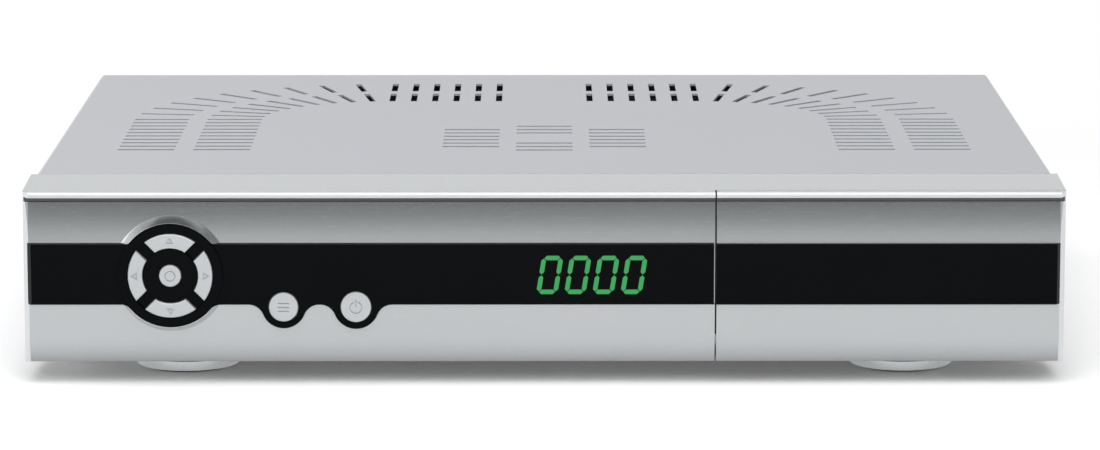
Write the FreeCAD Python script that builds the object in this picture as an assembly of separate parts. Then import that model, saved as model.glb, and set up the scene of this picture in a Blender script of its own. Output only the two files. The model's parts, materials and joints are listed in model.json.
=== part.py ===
"""Satellite TV receiver, built as the loose pieces of its assembly, in millimetres.

Frame: +X to the right, +Y to the rear (the front faces -Y), +Z up, and the origin on the
surface that the receiver stands on, under the middle of its overall box.
Depths are measured from the front lip, and heights from the underside of the front moulding.
"""
import math
import os

import FreeCAD
import Part
from FreeCAD import Vector

os.makedirs("parts", exist_ok=True)

X = Vector(1, 0, 0)
Y = Vector(0, 1, 0)
Z = Vector(0, 0, 1)

# ---------------------------------------------------------------- driving dimensions
# Case
case_width = 340.0          # over the front moulding's sides
case_depth = 269.8          # front lip to the rear panel's outer face
case_height = 57.5          # front moulding's underside to the top of the cover
sheet = 0.8                 # steel sheet of the cover, tray and rear panel
slip = 0.3                  # clearance between pieces that only lie beside each other
cover_inset = 1.45          # how far the front moulding stands proud of the cover's sides
fold_radius = 1.6           # outside radius of the folded sheet
cover_foot = 1.0            # lower edge of the cover's sides
cover_screw_y = (70.0, 215.0)
cover_screw_z = 8.0
screw_hole = 1.6            # radius of the sheet's screw holes
tray_z = 0.6                # tray's underside over the moulding's
tray_flange = 13.0          # top of the tray's side flanges
tray_front_wall = 10.0      # top of its low front wall

# Front moulding
bezel_depth = 31.3          # front lip to the seam with the cover
bezel_wall = 2.2
bezel_top_slope = 1.0       # how far its top falls from the seam to the lip
bottom_return = 18.0        # depth of its underside
lip_height = 1.9
groove_height = 1.5
groove_depth = 0.8          # groove under the lip, behind the face's top edge
face_inset = 1.6            # the face starts this far behind the lip, at its top and foot
face_bulge = 2.4            # and swells forward by this much at mid height
face_foot = 1.2             # radius of the edge at the face's foot
facet_width = 1.9           # flat across each front corner, seen from the front at the lip
facet_angle = 60.0          # between that flat and the front
tongue_length = 5.0         # rebate that the cover's front edge lies on
tongue_wall = 1.4

# Black band
band_bottom = 19.6
band_height = 20.1
band_proud = 1.8            # in front of the lip
band_thickness = 2.5
lens_play = 0.15            # clearance round the band in its seat
band_wall = 2.0             # moulding behind the band, at mid height

# Navigation pad and the two round keys
pad_x = -121.7
pad_z = 29.6
pad_radius = 17.0
pad_proud = 3.4             # front of the pad's disc, in front of the lip
pad_flare = 2.3             # the silver boss round it widens by this much to its foot
pad_bevel = 0.6
pad_fillet = 2.0
arc_outer = 13.75
arc_inner = 9.1
arc_gap = 4.0               # arm of the black cross between two arc keys
arc_sink = 1.1              # the cross lies this deep between the pad's rim and its middle
ok_radius = 3.6
menu_x = -85.0
menu_radius = 4.8
power_x = -61.4
power_radius = 5.0
round_key_z = 18.95
lobe_margin = 2.4           # black rim round each of the two round keys
lobe_fillet = 5.2
key_proud = 1.0             # keys stand this far in front of the black face round them
key_play = 0.25
key_bevel = 0.35
key_flange = 1.1            # how far a key's flange reaches past its hole
flange_thickness = 1.2
stem_side = 3.0
key_travel = 0.8

# Display
digit_height = 12.7
digit_width = 7.0
digit_pitch = 9.15
digit_slant = 9.0
digit_count = 4
segment = 1.5
segment_gap = 0.3
segment_thickness = 0.15
display_x = 15.5
display_z = 29.5
display_length = 50.3
display_height = 19.0
display_depth = 8.0

# Upright board behind the front
front_board_depth = 12.0    # its front, behind the lip
front_board_span = (-152.0, 50.0)
front_board_rise = (8.0, 50.0)
boss_x = (-146.0, -40.0, -18.0, 44.0)
boss_z = 46.0
boss_side = 6.0
switch_height = 4.3
switch_size = 6.0
plunger_side = 3.2
plunger_height = 0.9
eye_x = -30.0
eye_width = 6.4
eye_height = 7.0
eye_depth = 5.0
eye_radius = 2.4
eye_reach = 1.4

# Door
door_left = 55.9            # middle of the gap beside the door
door_gap = 0.5
door_back = 3.3             # back of the door, behind the lip
door_wall = 2.0
band_seat = 0.6             # the door's band is this much thinner than the fixed one
hinge_depth = 6.4           # hinge line, behind the lip
hinge_rise = 3.2            # and above the moulding's underside
pin_radius = 1.0
pin_play = 0.05
knuckle_radius = 2.2
knuckle_width = 3.0
catch_width = 8.0
catch_reach = 4.6
catch_thickness = 1.4
catch_bead = 0.8            # radius of the bead on a catch
catch_inset = 18.0          # catch's middle to the recess's side

# Recess behind the door
recess_floor = 12.0         # front of the panel behind the door
recess_margin = 5.0
recess_wall = 2.0
recess_drop = 2.0           # recess's roof below the face's top
slot_x = 98.0
card_board_z = 24.4
cage_width = 60.0
cage_height = 10.0
cage_length = 88.0
cage_wall = 0.8
cage_rear = 4.0             # depth of the cage's rear connector
module_width = 54.6
module_height = 5.6
guide_width = 3.0           # rails that guide a module's edges
mouth_play = 0.7            # slot in the panel round each module or plug
reader_width = 58.0
reader_length = 58.0
reader_height = 6.0
card_width = 54.4
card_slot = 1.2
usb_x = 148.0
usb_width = 13.2
usb_height = 5.8
usb_length = 18.0
usb_wall = 0.35
usb_tongue = 1.9
eject_gap = 4.0             # eject button's middle to the cage's side
eject_width = 4.0
eject_height = 3.4
eject_bevel = 0.6
eject_rod = 2.4
eject_travel = 6.0

# Feet
foot_height = 7.5
foot_radius = 17.2
foot_inset_x = 51.0         # foot centre to the case's side
foot_front = 36.0           # front foot centre behind the lip
foot_rear = 36.0            # rear foot centre ahead of the rear panel
foot_ring = 3.8
foot_neck = 13.5
foot_bevel = 0.8
rubber_radius = 14.2
rubber_thickness = 0.8

# Ventilation slots
slot_length = 19.4
slot_width = 2.25
slot_pitch = 7.8
slot_angle = 9.0
fan_x = 55.6                # centre of each fan, either side of the middle
fan_y = 154.3               # behind the lip
fan_rows = (45.1, 71.0)     # inner radius of each row
fan_radial = 9
fan_side = 10
fan_middle = 6
field_column = 25.3
field_front = 82.9          # front row of the middle field, behind the lip
field_rows = 8
side_vent_y = (110.0, 190.0)
side_vent_count = 6
side_vent_low = 22.0
floor_vent_x = (-60.0, 0.0, 60.0)
floor_vent_y = 110.0
floor_vent_count = 6
rear_vent_x = -158.0
rear_vent_count = 12
rear_vent_rise = (34.0, 50.0)

# Rear panel
panel_flange = 9.0
panel_screw_x = (-160.0, -50.0, 50.0, 160.0)
panel_screw_z = 4.2
lug_width = 8.0
port_gap = 0.4              # round each socket in its cut-out
port_proud = 0.6            # sockets stand this far out of the panel

# Boards and the posts under them
board = 1.6
post_height = 6.0
post_radius = 3.0
main_board_span = (-98.0, 160.0, 112.0, 267.0)
power_board_span = (-160.0, -104.0, 66.0, 262.0)
post_inset = 6.0
main_post_run = 80.0        # between the main board's front and rear posts
power_post_run = 174.0      # between the power board's
card_board_margin = 6.0
card_post_front = 8.0

# Rear sockets
tuner_x = (150.0, 126.0)
tuner_width = 20.0
tuner_height = 38.0
tuner_length = 62.0
tuner_corner = 0.8
tuner_levels = (20.0, 37.0)
dimple_depth = 0.5
dimple_width = 4.0
dimple_y = (16.0, 36.0)     # ahead of the tuner's rear
f_radius = 4.76             # aerial socket's thread
f_length = 11.0
f_nut = 7.0
f_nut_height = 2.0
f_bore = 1.1
f_bore_depth = 7.0
serial_x = 96.0
serial_shell = (17.0, 8.6)
serial_wall = 0.7
serial_reach = 4.6
serial_flange = (30.8, 1.0)
serial_rise = 6.2
network_x = 68.0
network_body = (16.0, 21.0, 13.6)
network_mouth = (11.8, 7.0, 13.0)
network_latch = (6.4, 2.2, 11.0)
network_sill = 3.0
rear_usb_x = 49.0
hdmi_x = 30.0
hdmi_body = (15.0, 5.6, 12.0)
hdmi_wall = 0.4
hdmi_corner = 1.6
optical_x = 13.0
optical_body = (9.6, 13.6, 10.0)
optical_mouth = 6.2
audio_x = -16.0
audio_pitch = 14.0
audio_levels = (16.0, 31.0)
audio_margin = 6.5
audio_depth = 13.0
audio_sleeve = 4.15
audio_bore = 1.7
audio_reach = 7.6
scart_x = -66.0
scart_width = 56.0
scart_height = 15.0
scart_depth = 20.0
scart_levels = (17.5, 35.0)
scart_rim = (46.6, 11.6)
scart_groove = 1.0
scart_well = 8.0
scart_blades = 10
blade_pitch = 3.8
blade_size = (1.0, 3.0, 7.0)
blade_rise = 2.6
rocker_x = -118.0
rocker_z = 21.0
rocker_width = 13.0
rocker_height = 19.0
rocker_depth = 18.0
rocker_well = 9.0
rocker_rim = 1.5
rocker_wall = 1.6
rocker_axle = 2.6           # axle ahead of the panel's outer face
rocker_throw = 16.0
inlet_x = -144.0
inlet_z = 21.0
inlet_body = (21.0, 16.0)
inlet_flange = (26.0, 20.0)
inlet_mouth = (16.6, 9.4)
inlet_depth = 16.0
inlet_well = 11.0
inlet_pin = 1.2
inlet_pin_pitch = 8.6
rim_thickness = 1.6         # flange of the inlet and of the switch's frame

# What stands on the boards
heatsink_place = (20.0, 180.0, 38.0)
heatsink_base = 2.0
heatsink_height = 14.0
fin_count = 10
fin_thickness = 1.0
chip_height = 2.4
chip_side = 28.0
memory_height = 1.4
memory_places = (
    (-22, 188, 12, 20), (-22, 162, 12, 20), (60, 170, 20, 14), (-60, 200, 16, 16), (90, 210, 14, 10),
)
capacitor_bevel = 0.6
board_capacitor_places = ((-40, 140, 4, 11), (55, 200, 5, 12), (66, 200, 5, 12), (-80, 150, 4, 11))
power_capacitor_places = ((-132, 196, 11, 32), (-120, 100, 5, 20), (-140, 100, 5, 20))
transformer_place = (-132.0, 140.0)
core_size = (34.0, 14.0, 28.0)
core_limb = 6.0
core_rise = 3.0
bobbin_play = 0.3
bobbin_cheek = 2.7
winding_radius = 10.0
cooler_x = -112.5
cooler_run = (150.0, 190.0)
cooler_thickness = 3.0
cooler_height = 30.0
cooler_fin = 5.0
cooler_fins = 5
fuse_place = (-148.0, 226.0)
fuse_radius = 2.5
fuse_length = 20.0
fuse_rise = 5.5
clip_size = (6.8, 4.0)
lead_x = -60.0
lead_width = 16.0
lead_thickness = 0.9
header_size = (20.0, 5.0, 5.0)
front_header_z = 14.0
rear_header_inset = 8.0

# ---------------------------------------------------------------- derived places
floor_z = foot_height                       # underside of the front moulding
overall_depth = pad_proud + key_proud + case_depth + f_length
lip_y = pad_proud + key_proud - overall_depth / 2
half = case_width / 2
cover_half = half - cover_inset
tray_half = cover_half - sheet - slip
tray_front = bottom_return + slip
tray_top = tray_z + sheet
top_z = floor_z + case_height
lip_top = case_height - bezel_top_slope
face_top = lip_top - lip_height - groove_height
facet_depth = facet_width * math.tan(math.radians(facet_angle))
band_top = band_bottom + band_height
band_back = band_thickness - band_proud     # behind the lip
door_band_back = band_back - band_seat
door_x0 = door_left + door_gap / 2
bezel_x1 = door_left - door_gap / 2
gutter_radius = math.hypot(hinge_depth - face_inset, hinge_rise) + 2 * slip
recess_low = hinge_rise + gutter_radius + bezel_wall
recess_high = face_top - recess_drop
recess_x0 = door_x0 + recess_margin
recess_x1 = half - recess_margin
eye_places = (door_x0 + 1.0, half - bezel_wall - 2 * knuckle_width - slip - 1.5)
catch_places = (recess_x0 + catch_inset, recess_x1 - catch_inset)
panel_back = recess_floor + recess_wall
key_rear = band_back + band_wall + 3 * slip         # front of the keys' flanges
cage_base = card_board_z + board
eject_x = slot_x + cage_width / 2 + eject_gap
panel_front = case_depth - sheet
socket_face = case_depth + port_proud
board_z = tray_top + post_height
board_top = board_z + board
header_front = front_board_depth + board + header_size[1]
arc_keys = {"right_key": 0, "up_key": 90, "left_key": 180, "down_key": 270}
round_keys = {
    "ok_key": (pad_x, pad_z, ok_radius),
    "menu_key": (menu_x, round_key_z, menu_radius),
    "power_key": (power_x, round_key_z, power_radius),
}


# ---------------------------------------------------------------- helpers
def at(x, depth, height):
    """A point from its place across, behind the lip and above the moulding's underside."""
    return Vector(x, lip_y + depth, floor_z + height)


def box(x0, x1, y0, y1, z0, z1):
    """Block between two places across, two depths and two heights."""
    return Part.makeBox(x1 - x0, y1 - y0, z1 - z0, at(x0, y0, z0))


def block(x, z, width, height, y0, y1):
    """Block from front to back, round a middle across and up."""
    return box(x - width / 2, x + width / 2, y0, y1, z - height / 2, z + height / 2)


def post(x, y, z0, z1, radius):
    """Upright cylinder."""
    return Part.makeCylinder(radius, z1 - z0, at(x, y, z0), Z)


def rod(x, z, y0, y1, radius):
    """Cylinder that runs front to back."""
    return Part.makeCylinder(radius, y1 - y0, at(x, y0, z), Y)


def cross_rod(x0, x1, y, z, radius):
    """Cylinder that runs from left to right."""
    return Part.makeCylinder(radius, x1 - x0, at(x0, y, z), X)


def outline(points, move):
    """Closed outline through corners, with an arc where a corner is a pair (through, end)."""
    edges = []
    start = Vector(*points[0])
    for step in points[1:] + [points[0]]:
        if isinstance(step[0], tuple):
            through, end = step
            edges.append(Part.Arc(start, Vector(*through), Vector(*end)).toShape())
            start = Vector(*end)
        else:
            edges.append(Part.makeLine(start, Vector(*step)))
            start = Vector(*step)
    wire = Part.Wire(edges)
    wire.translate(move)
    return Part.Face(wire)


def fuse(shapes):
    """One solid out of pieces that meet."""
    whole = shapes[0]
    if len(shapes) > 1:
        whole = shapes[0].multiFuse(shapes[1:])
    return whole.removeSplitter()


def cut(shape, tools):
    """Shape with every tool taken away."""
    return shape.cut(Part.Compound(tools))


def polar(angle, radius):
    """Point of the plane at an angle in degrees."""
    turn = math.radians(angle)
    return (radius * math.cos(turn), radius * math.sin(turn))


def front_edges(shape, depth):
    """Edges of a shape that lie in the upright plane at a depth."""
    level = lip_y + depth
    return [edge for edge in shape.Edges
            if abs(edge.BoundBox.YMin - level) + abs(edge.BoundBox.YMax - level) < 0.01]


def rounded_block(x, z, width, height, y0, y1, radius):
    """Block from front to back whose four long edges are rounded."""
    shape = block(x, z, width, height, y0, y1)
    edges = [edge for edge in shape.Edges if edge.BoundBox.YLength > 0.5 * (y1 - y0)]
    return shape.makeFillet(radius, edges)


def save(name, shapes):
    """Write one node's solids to its STEP file."""
    solids = []
    for shape in shapes if isinstance(shapes, list) else [shapes]:
        solids += shape.Solids
    whole = solids[0] if len(solids) == 1 else Part.makeCompound(solids)
    whole.exportStep("parts/" + name + ".step")
    print(name, len(solids), "solids", round(sum(solid.Volume for solid in solids)))


# ---------------------------------------------------------------- front moulding
def front_section(x0, x1, back):
    """Solid front from the lip back to a depth: lip, groove and swollen face."""
    slope = bezel_top_slope / (bezel_depth - face_inset)
    groove_back = face_inset + groove_depth
    share = 1 - math.sqrt(0.5)
    points = [
        (0, back, 0),
        (0, face_inset + face_foot, 0),
        ((0, face_inset + face_foot * share, face_foot * share), (0, face_inset, face_foot)),
        ((0, face_inset - face_bulge, face_top / 2), (0, face_inset, face_top)),
        (0, groove_back, face_top),
        (0, groove_back, face_top + groove_height),
        (0, 0, face_top + groove_height),
        (0, 0, lip_top - face_inset),
        ((0, face_inset * share, lip_top - face_inset * share), (0, face_inset, lip_top)),
        (0, back, lip_top + slope * (back - face_inset)),
    ]
    return outline(points, at(x0, 0, 0)).extrude(X * (x1 - x0))


def plan(back, reach=6.0):
    """Block with the case's outline from above, whose front corners have the flats."""
    front = half - facet_width - reach / math.tan(math.radians(facet_angle))
    points = [
        (-half, back, 0),
        (-half, facet_depth, 0),
        (-front, -reach, 0),
        (front, -reach, 0),
        (half, facet_depth, 0),
        (half, back, 0),
    ]
    return outline(points, at(0, 0, 0)).extrude(Z * (case_height + 1))


def bezel_hollow():
    """Space inside the front moulding."""
    side = half - bezel_wall
    top = lip_top - bezel_wall
    front = face_inset + bezel_wall + slip
    points = [
        (0, bezel_depth + 1, bezel_wall),
        (0, front, bezel_wall),
        ((0, band_back + band_wall, face_top / 2), (0, front, top)),
        (0, bezel_depth + 1, top + bezel_top_slope),
    ]
    return outline(points, at(-side, 0, 0)).extrude(X * 2 * side)


def cover_tongue():
    """Rebate round the back of the moulding, which the cover's front edge lies on."""
    rear = bezel_depth + tongue_length
    root = bezel_depth - tongue_length
    outer_top = case_height - sheet - slip
    outer = box(-tray_half, tray_half, root, rear, bezel_wall + sheet, outer_top)
    side = tray_half - tongue_wall
    inner = box(-side, side, root - 1, rear + 1, 0, outer_top - tongue_wall)
    return outer.cut(inner)


def lobe(x, z, radius, fillet, level, rise, y0, y1):
    """Round lobe out of a straight edge at a level, up (rise 1) or down (-1), with concave rounds."""
    shapes = [rod(x, z, y0, y1, radius)]
    round_z = level + rise * fillet
    reach = math.sqrt((radius + fillet) ** 2 - (round_z - z) ** 2)
    share = radius / (radius + fillet)
    for side in (-1, 1):
        round_x = x + side * reach
        touch = (x + side * reach * share, 0, z + (round_z - z) * share)
        filler = outline([(x, 0, level), (round_x, 0, level), touch], at(0, y0, 0)).extrude(Y * (y1 - y0))
        shapes.append(filler.cut(rod(round_x, round_z, y0 - 1, y1 + 1, fillet)))
    return shapes


def band_blank(x0, x1, y0, y1, grow=0.0):
    """Straight length of the band between two places across."""
    return box(x0, x1, y0, y1, band_bottom - grow, band_top + grow)


def lens_blank(y0, y1, grow=0.0):
    """Band left of the door with the lobes round the pad and the two round keys."""
    shapes = [band_blank(-half, bezel_x1, y0, y1, grow)]
    shapes += lobe(pad_x, pad_z, pad_radius + grow, pad_fillet, band_top + grow, 1, y0, y1)
    shapes += lobe(pad_x, pad_z, pad_radius + grow, pad_fillet, band_bottom - grow, -1, y0, y1)
    for x, radius in ((menu_x, menu_radius), (power_x, power_radius)):
        reach = radius + lobe_margin + grow
        shapes += lobe(x, round_key_z, reach, lobe_fillet, band_bottom - grow, -1, y0, y1)
    return fuse(shapes)


def arc_prism(angle, y0, y1, grow=0.0):
    """Arc key of the pad: a quarter of a ring between two arms of the cross."""
    ring = rod(pad_x, pad_z, y0, y1, arc_outer + grow)
    ring = ring.cut(rod(pad_x, pad_z, y0 - 1, y1 + 1, arc_inner - grow))
    reach = 2 * pad_radius
    corner = (arc_gap / 2 - grow) * math.sqrt(2)
    points = [(corner, 0, 0), (corner + reach, 0, reach), (corner + reach, 0, -reach)]
    wedge = outline(points, at(pad_x, y0, pad_z)).extrude(Y * (y1 - y0))
    wedge.rotate(at(pad_x, y0, pad_z), Y, -angle)
    return ring.common(wedge)


def key_holes(y0, y1, grow):
    """Holes that the seven keys pass through."""
    holes = [arc_prism(angle, y0, y1, grow) for angle in arc_keys.values()]
    for x, z, radius in round_keys.values():
        holes.append(rod(x, z, y0, y1, radius + grow))
    return holes


def pad_boss():
    """Silver boss that flares from the pad's disc down to the face."""
    head = pad_radius + slip
    cone = Part.makeCone(head + pad_flare, head, pad_proud + face_inset, at(pad_x, face_inset, pad_z), -Y)
    return cone.cut(box(-half, half, -pad_proud - 1, 0, -1, 0))


def display_window():
    """Room for the display's body."""
    return block(display_x, display_z, display_length + 2 * slip, display_height + 2 * slip,
                 band_back, band_back + display_depth + 2 * slip)


def door_zone(y1):
    """Everything of the front from the gap beside the door to the right side."""
    return box(bezel_x1, half + 1, -pad_proud - 1, y1, -1, case_height + 1)


def pocket(y0, y1, grow=0.0):
    """Space behind the door, in front of the slots' panel."""
    return box(recess_x0 - grow, recess_x1 + grow, y0, y1, recess_low - grow, recess_high + grow)


def knuckle(x, radius, width):
    """Round eye or bore on the door's hinge line."""
    return cross_rod(x, x + width, hinge_depth, hinge_rise, radius)


def recess_slots():
    """Place and size of each opening in the panel behind the door."""
    low, high = cage_levels()
    module_mouth = (module_width + 2 * mouth_play, module_height + 2 * mouth_play)
    eject_hole = (eject_width + 2 * slip, eject_height + 2 * slip)
    return [
        (slot_x, low) + module_mouth,
        (slot_x, high) + module_mouth,
        (eject_x, low) + eject_hole,
        (eject_x, high) + eject_hole,
        (slot_x, card_board_z - reader_height / 2, card_width + 2 * mouth_play, card_slot + mouth_play),
        (usb_x, cage_base + usb_height / 2, usb_width + mouth_play, usb_height + mouth_play),
    ]


def door_bay(shell):
    """The moulding with the bay behind the door: gutter, panel, and a recess for the card slots."""
    plate_y = door_back + slip
    shell = shell.cut(door_zone(plate_y))
    left = bezel_x1 - bezel_wall
    gutter_wall = cross_rod(left, half - slip, hinge_depth, hinge_rise, gutter_radius + bezel_wall)
    inside = box(left, half - slip, plate_y, bezel_depth, 0, case_height)
    plate = box(left, half - 1, plate_y, plate_y + bezel_wall, hinge_rise, lip_top - 1)
    tub = pocket(plate_y, panel_back, recess_wall)
    bay = fuse([shell, gutter_wall.common(inside), plate, tub])
    bay = bay.cut(pocket(plate_y - 1, recess_floor))
    bay = bay.cut(cross_rod(door_x0 - door_gap, half + 1, hinge_depth, hinge_rise, gutter_radius))

    ears = []
    for x in eye_places:
        web = box(x, x + knuckle_width, hinge_depth - pin_radius - slip, hinge_depth + pin_radius + slip,
                  hinge_rise, hinge_rise + gutter_radius + 1)
        ears.append(knuckle(x, knuckle_radius, knuckle_width).fuse(web))
    bay = fuse([bay] + ears)
    cuts = [knuckle(x - 1, pin_radius, knuckle_width + 2) for x in eye_places]
    cuts += [block(*hole, recess_floor - 1, panel_back + 1) for hole in recess_slots()]
    bead_depth = door_back + catch_reach - catch_bead
    for x in catch_places:
        reach = catch_width / 2 + slip
        cuts.append(box(x - reach, x + reach, bead_depth - catch_bead - slip, bead_depth + catch_bead + slip,
                        recess_high - 1, recess_high + catch_bead + slip))
    return cut(bay, cuts)


def make_bezel():
    """Moulded front with its boss, windows, door bay and the bosses of the upright board."""
    shell = front_section(-half, half, bezel_depth).common(plan(bezel_depth)).cut(bezel_hollow())
    inner = half - bezel_wall
    shell = shell.cut(box(-inner, inner, bottom_return, bezel_depth + 1, -1, bezel_wall + 1))
    shell = fuse([shell, pad_boss(), cover_tongue()])
    windows = key_holes(-pad_proud - 1, bezel_depth, key_play) + [display_window()]
    shell = cut(shell.cut(lens_blank(-pad_proud - 1, band_back, lens_play)), windows)
    bosses = [block(x, boss_z, boss_side, boss_side, band_back + band_wall / 2, front_board_depth)
              for x in boss_x]
    return fuse([door_bay(shell)] + bosses)


def make_lens():
    """Black gloss band with the pad's disc, its sunk cross and the holes for the keys."""
    body = lens_blank(-band_proud, band_back).common(plan(bezel_depth, 10.0))
    disc = rod(pad_x, pad_z, -pad_proud, band_back, pad_radius)
    disc = disc.makeChamfer(pad_bevel, front_edges(disc, -pad_proud))
    ring = rod(pad_x, pad_z, -pad_proud - 1, arc_sink - pad_proud, arc_outer + key_play)
    ring = ring.cut(rod(pad_x, pad_z, -pad_proud - 2, arc_sink, arc_inner - key_play))
    return cut(fuse([body, disc]), [ring] + key_holes(-pad_proud - 1, band_back + 1, key_play))


# ---------------------------------------------------------------- door
def make_door():
    """Drop-down door with its own length of the face, hinge eyes and two catches."""
    shape = front_section(door_x0, half, door_back).common(plan(door_back))
    panel_top = face_top - door_wall
    edge_depth = face_inset + door_wall - slip
    right = half - facet_width - door_wall - slip
    hollow = [
        (0, door_back + 1, door_wall),
        (0, edge_depth, door_wall),
        ((0, band_back + door_wall - slip, face_top / 2), (0, edge_depth, panel_top)),
        (0, door_back + 1, panel_top),
    ]
    left = door_x0 + door_wall
    shape = shape.cut(outline(hollow, at(left, 0, 0)).extrude(X * (right - left)))
    shape = shape.cut(band_blank(door_x0, half, -pad_proud, door_band_back))
    parts = [shape]
    root = door_back - 4 * slip
    for x in eye_places:
        start = x + knuckle_width + slip
        parts.append(box(start, start + knuckle_width, root, hinge_depth, hinge_rise - knuckle_radius,
                         hinge_rise + knuckle_radius))
        parts.append(knuckle(start, knuckle_radius, knuckle_width))
    for x in catch_places:
        level = recess_high - slip
        parts.append(box(x - catch_width / 2, x + catch_width / 2, root, door_back + catch_reach,
                         level - catch_thickness, level))
        parts.append(cross_rod(x - catch_width / 2, x + catch_width / 2, door_back + catch_reach - catch_bead,
                               level - catch_bead / 8, catch_bead))
    bores = [knuckle(x, pin_radius + pin_play, 2 * knuckle_width + slip + 1) for x in eye_places]
    return cut(fuse(parts), bores)


def make_door_band():
    """The door's length of the black band, on the door's face."""
    return band_blank(door_x0, half, -band_proud, door_band_back).common(plan(door_back, 10.0))


def make_hinge_pins():
    """Two short steel pins, each pressed in an eye of the moulding."""
    return [knuckle(x, pin_radius, 2 * knuckle_width + slip) for x in eye_places]


# ---------------------------------------------------------------- keys
def key_solid(cap, flange, x, z, front):
    """Key with its bevelled cap, the flange that keeps it in, and the stem on its switch."""
    cap = cap.makeChamfer(key_bevel, front_edges(cap, front))
    stem_end = front_board_depth - switch_height - key_travel - 0.1
    stem = block(x, z, stem_side, stem_side, key_rear + flange_thickness / 2, stem_end)
    return fuse([cap, flange, stem])


def make_arc_key(angle):
    """One of the four arc keys round the pad."""
    front = -pad_proud - key_proud
    back = key_rear + flange_thickness
    cap = arc_prism(angle, front, back)
    flange = arc_prism(angle, key_rear, back, key_flange)
    step = polar(angle, (arc_outer + arc_inner) / 2)
    return key_solid(cap, flange, pad_x + step[0], pad_z + step[1], front)


def make_round_key(name):
    """Round key of the pad's middle or under the band."""
    x, z, radius = round_keys[name]
    level = pad_proud if name == "ok_key" else band_proud
    front = -level - key_proud
    back = key_rear + flange_thickness
    cap = rod(x, z, front, back, radius)
    flange = rod(x, z, key_rear, back, radius + key_flange)
    return key_solid(cap, flange, x, z, front)


# ---------------------------------------------------------------- display and upright board
def segment_bar(x, z, length, along_x):
    """One segment of a digit: a bar with pointed ends, before the digit is slanted."""
    r = segment / 2
    run = length / 2
    shape = [(-run, 0), (-run + r, r), (run - r, r), (run, 0), (run - r, -r), (-run + r, -r)]
    points = [(x + a, 0, z + b) if along_x else (x + b, 0, z + a) for a, b in shape]
    return outline(points, Vector(0, 0, 0)).extrude(Y * segment_thickness)


def digit(x):
    """Six lit segments of a zero, leaning to the right."""
    width = digit_width - segment
    half_run = (digit_height - segment) / 2
    bars = []
    for level in (-1, 1):
        bars.append(segment_bar(0, level * half_run, width - segment_gap, True))
        for side in (-1, 1):
            bars.append(segment_bar(side * width / 2, level * half_run / 2, half_run - segment_gap, False))
    lean = FreeCAD.Matrix()
    lean.A13 = math.tan(math.radians(digit_slant))
    bars = [bar.transformGeometry(lean) for bar in bars]
    for bar in bars:
        bar.translate(at(x, band_back + slip - segment_thickness, display_z))
    return bars


def make_digits():
    """Lit segments of the four digits, on the front of the display."""
    first = display_x - digit_pitch * (digit_count - 1) / 2
    bars = []
    for index in range(digit_count):
        bars += digit(first + index * digit_pitch)
    return bars


def make_display():
    """Body of the display, in the window behind the band."""
    front = band_back + slip
    return block(display_x, display_z, display_length, display_height, front, front + display_depth)


def key_places():
    """Middle of each key's stem, across and up."""
    places = []
    for angle in arc_keys.values():
        step = polar(angle, (arc_outer + arc_inner) / 2)
        places.append((pad_x + step[0], pad_z + step[1]))
    return places + [(x, z) for x, z, radius in round_keys.values()]


def make_front_board():
    """Upright board that carries the switches, the remote eye and the display."""
    return box(front_board_span[0], front_board_span[1], front_board_depth, front_board_depth + board,
               front_board_rise[0], front_board_rise[1])


def make_switches():
    """Push switches, one behind each key's stem."""
    top = front_board_depth - switch_height
    shoulder = top + plunger_height
    return [block(x, z, switch_size, switch_size, shoulder, front_board_depth).fuse(
        block(x, z, plunger_side, plunger_side, top, shoulder)) for x, z in key_places()]


def make_remote_eye():
    """Infrared receiver behind the band."""
    front = front_board_depth - eye_depth
    return block(eye_x, display_z, eye_width, eye_height, front, front_board_depth).fuse(
        rod(eye_x, display_z, front - eye_reach, front, eye_radius))


# ---------------------------------------------------------------- behind the door
def cage_levels():
    """Middle height of the lower and the upper module slot."""
    return (cage_base + cage_height / 2, cage_base + 1.5 * cage_height)


def card_post_places():
    """Posts under the corners of the card board."""
    left = slot_x - cage_width / 2 - post_radius
    right = usb_x + usb_width / 2 + post_radius
    return [(x, y) for x in (left, right) for y in (panel_back + card_post_front, panel_back + cage_length)]


def make_card_board():
    """Small board that carries the module cages and the USB socket."""
    front = panel_back + slip
    return box(slot_x - cage_width / 2 - card_board_margin, usb_x + usb_width / 2 + card_board_margin,
               front, front + cage_length + cage_rear, card_board_z, cage_base)


def make_cage(index):
    """Module cage, open at the front, with its guide rails."""
    level = cage_levels()[index]
    front = panel_back + slip
    rear = front + cage_length
    shell = block(slot_x, level, cage_width, cage_height, front, rear)
    inner = block(slot_x, level, module_width, module_height, front - 1, rear - cage_rear)
    belly = block(slot_x, level, module_width - 2 * guide_width, cage_height - 2 * cage_wall,
                  front + 2 * cage_rear, rear - cage_rear)
    return cut(shell, [inner, belly])


def make_eject(index):
    """Eject button with its push rod beside the cage."""
    level = cage_levels()[index]
    front = recess_floor - eject_travel - 1.0
    cap = block(eject_x, level, eject_width, eject_height, front, panel_back + 2 * recess_wall)
    cap = cap.makeChamfer(eject_bevel, front_edges(cap, front))
    return cap.fuse(block(eject_x, level, eject_rod, eject_rod, panel_back + recess_wall,
                          panel_back + 0.7 * cage_length))


def make_reader():
    """Smart-card reader under that board."""
    front = panel_back + slip
    level = card_board_z - reader_height / 2
    body = block(slot_x, level, reader_width, reader_height, front, front + reader_length)
    throat_end = front + reader_length - 2 * cage_rear
    return body.cut(block(slot_x, level, card_width, card_slot, front - 1, throat_end))


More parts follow.
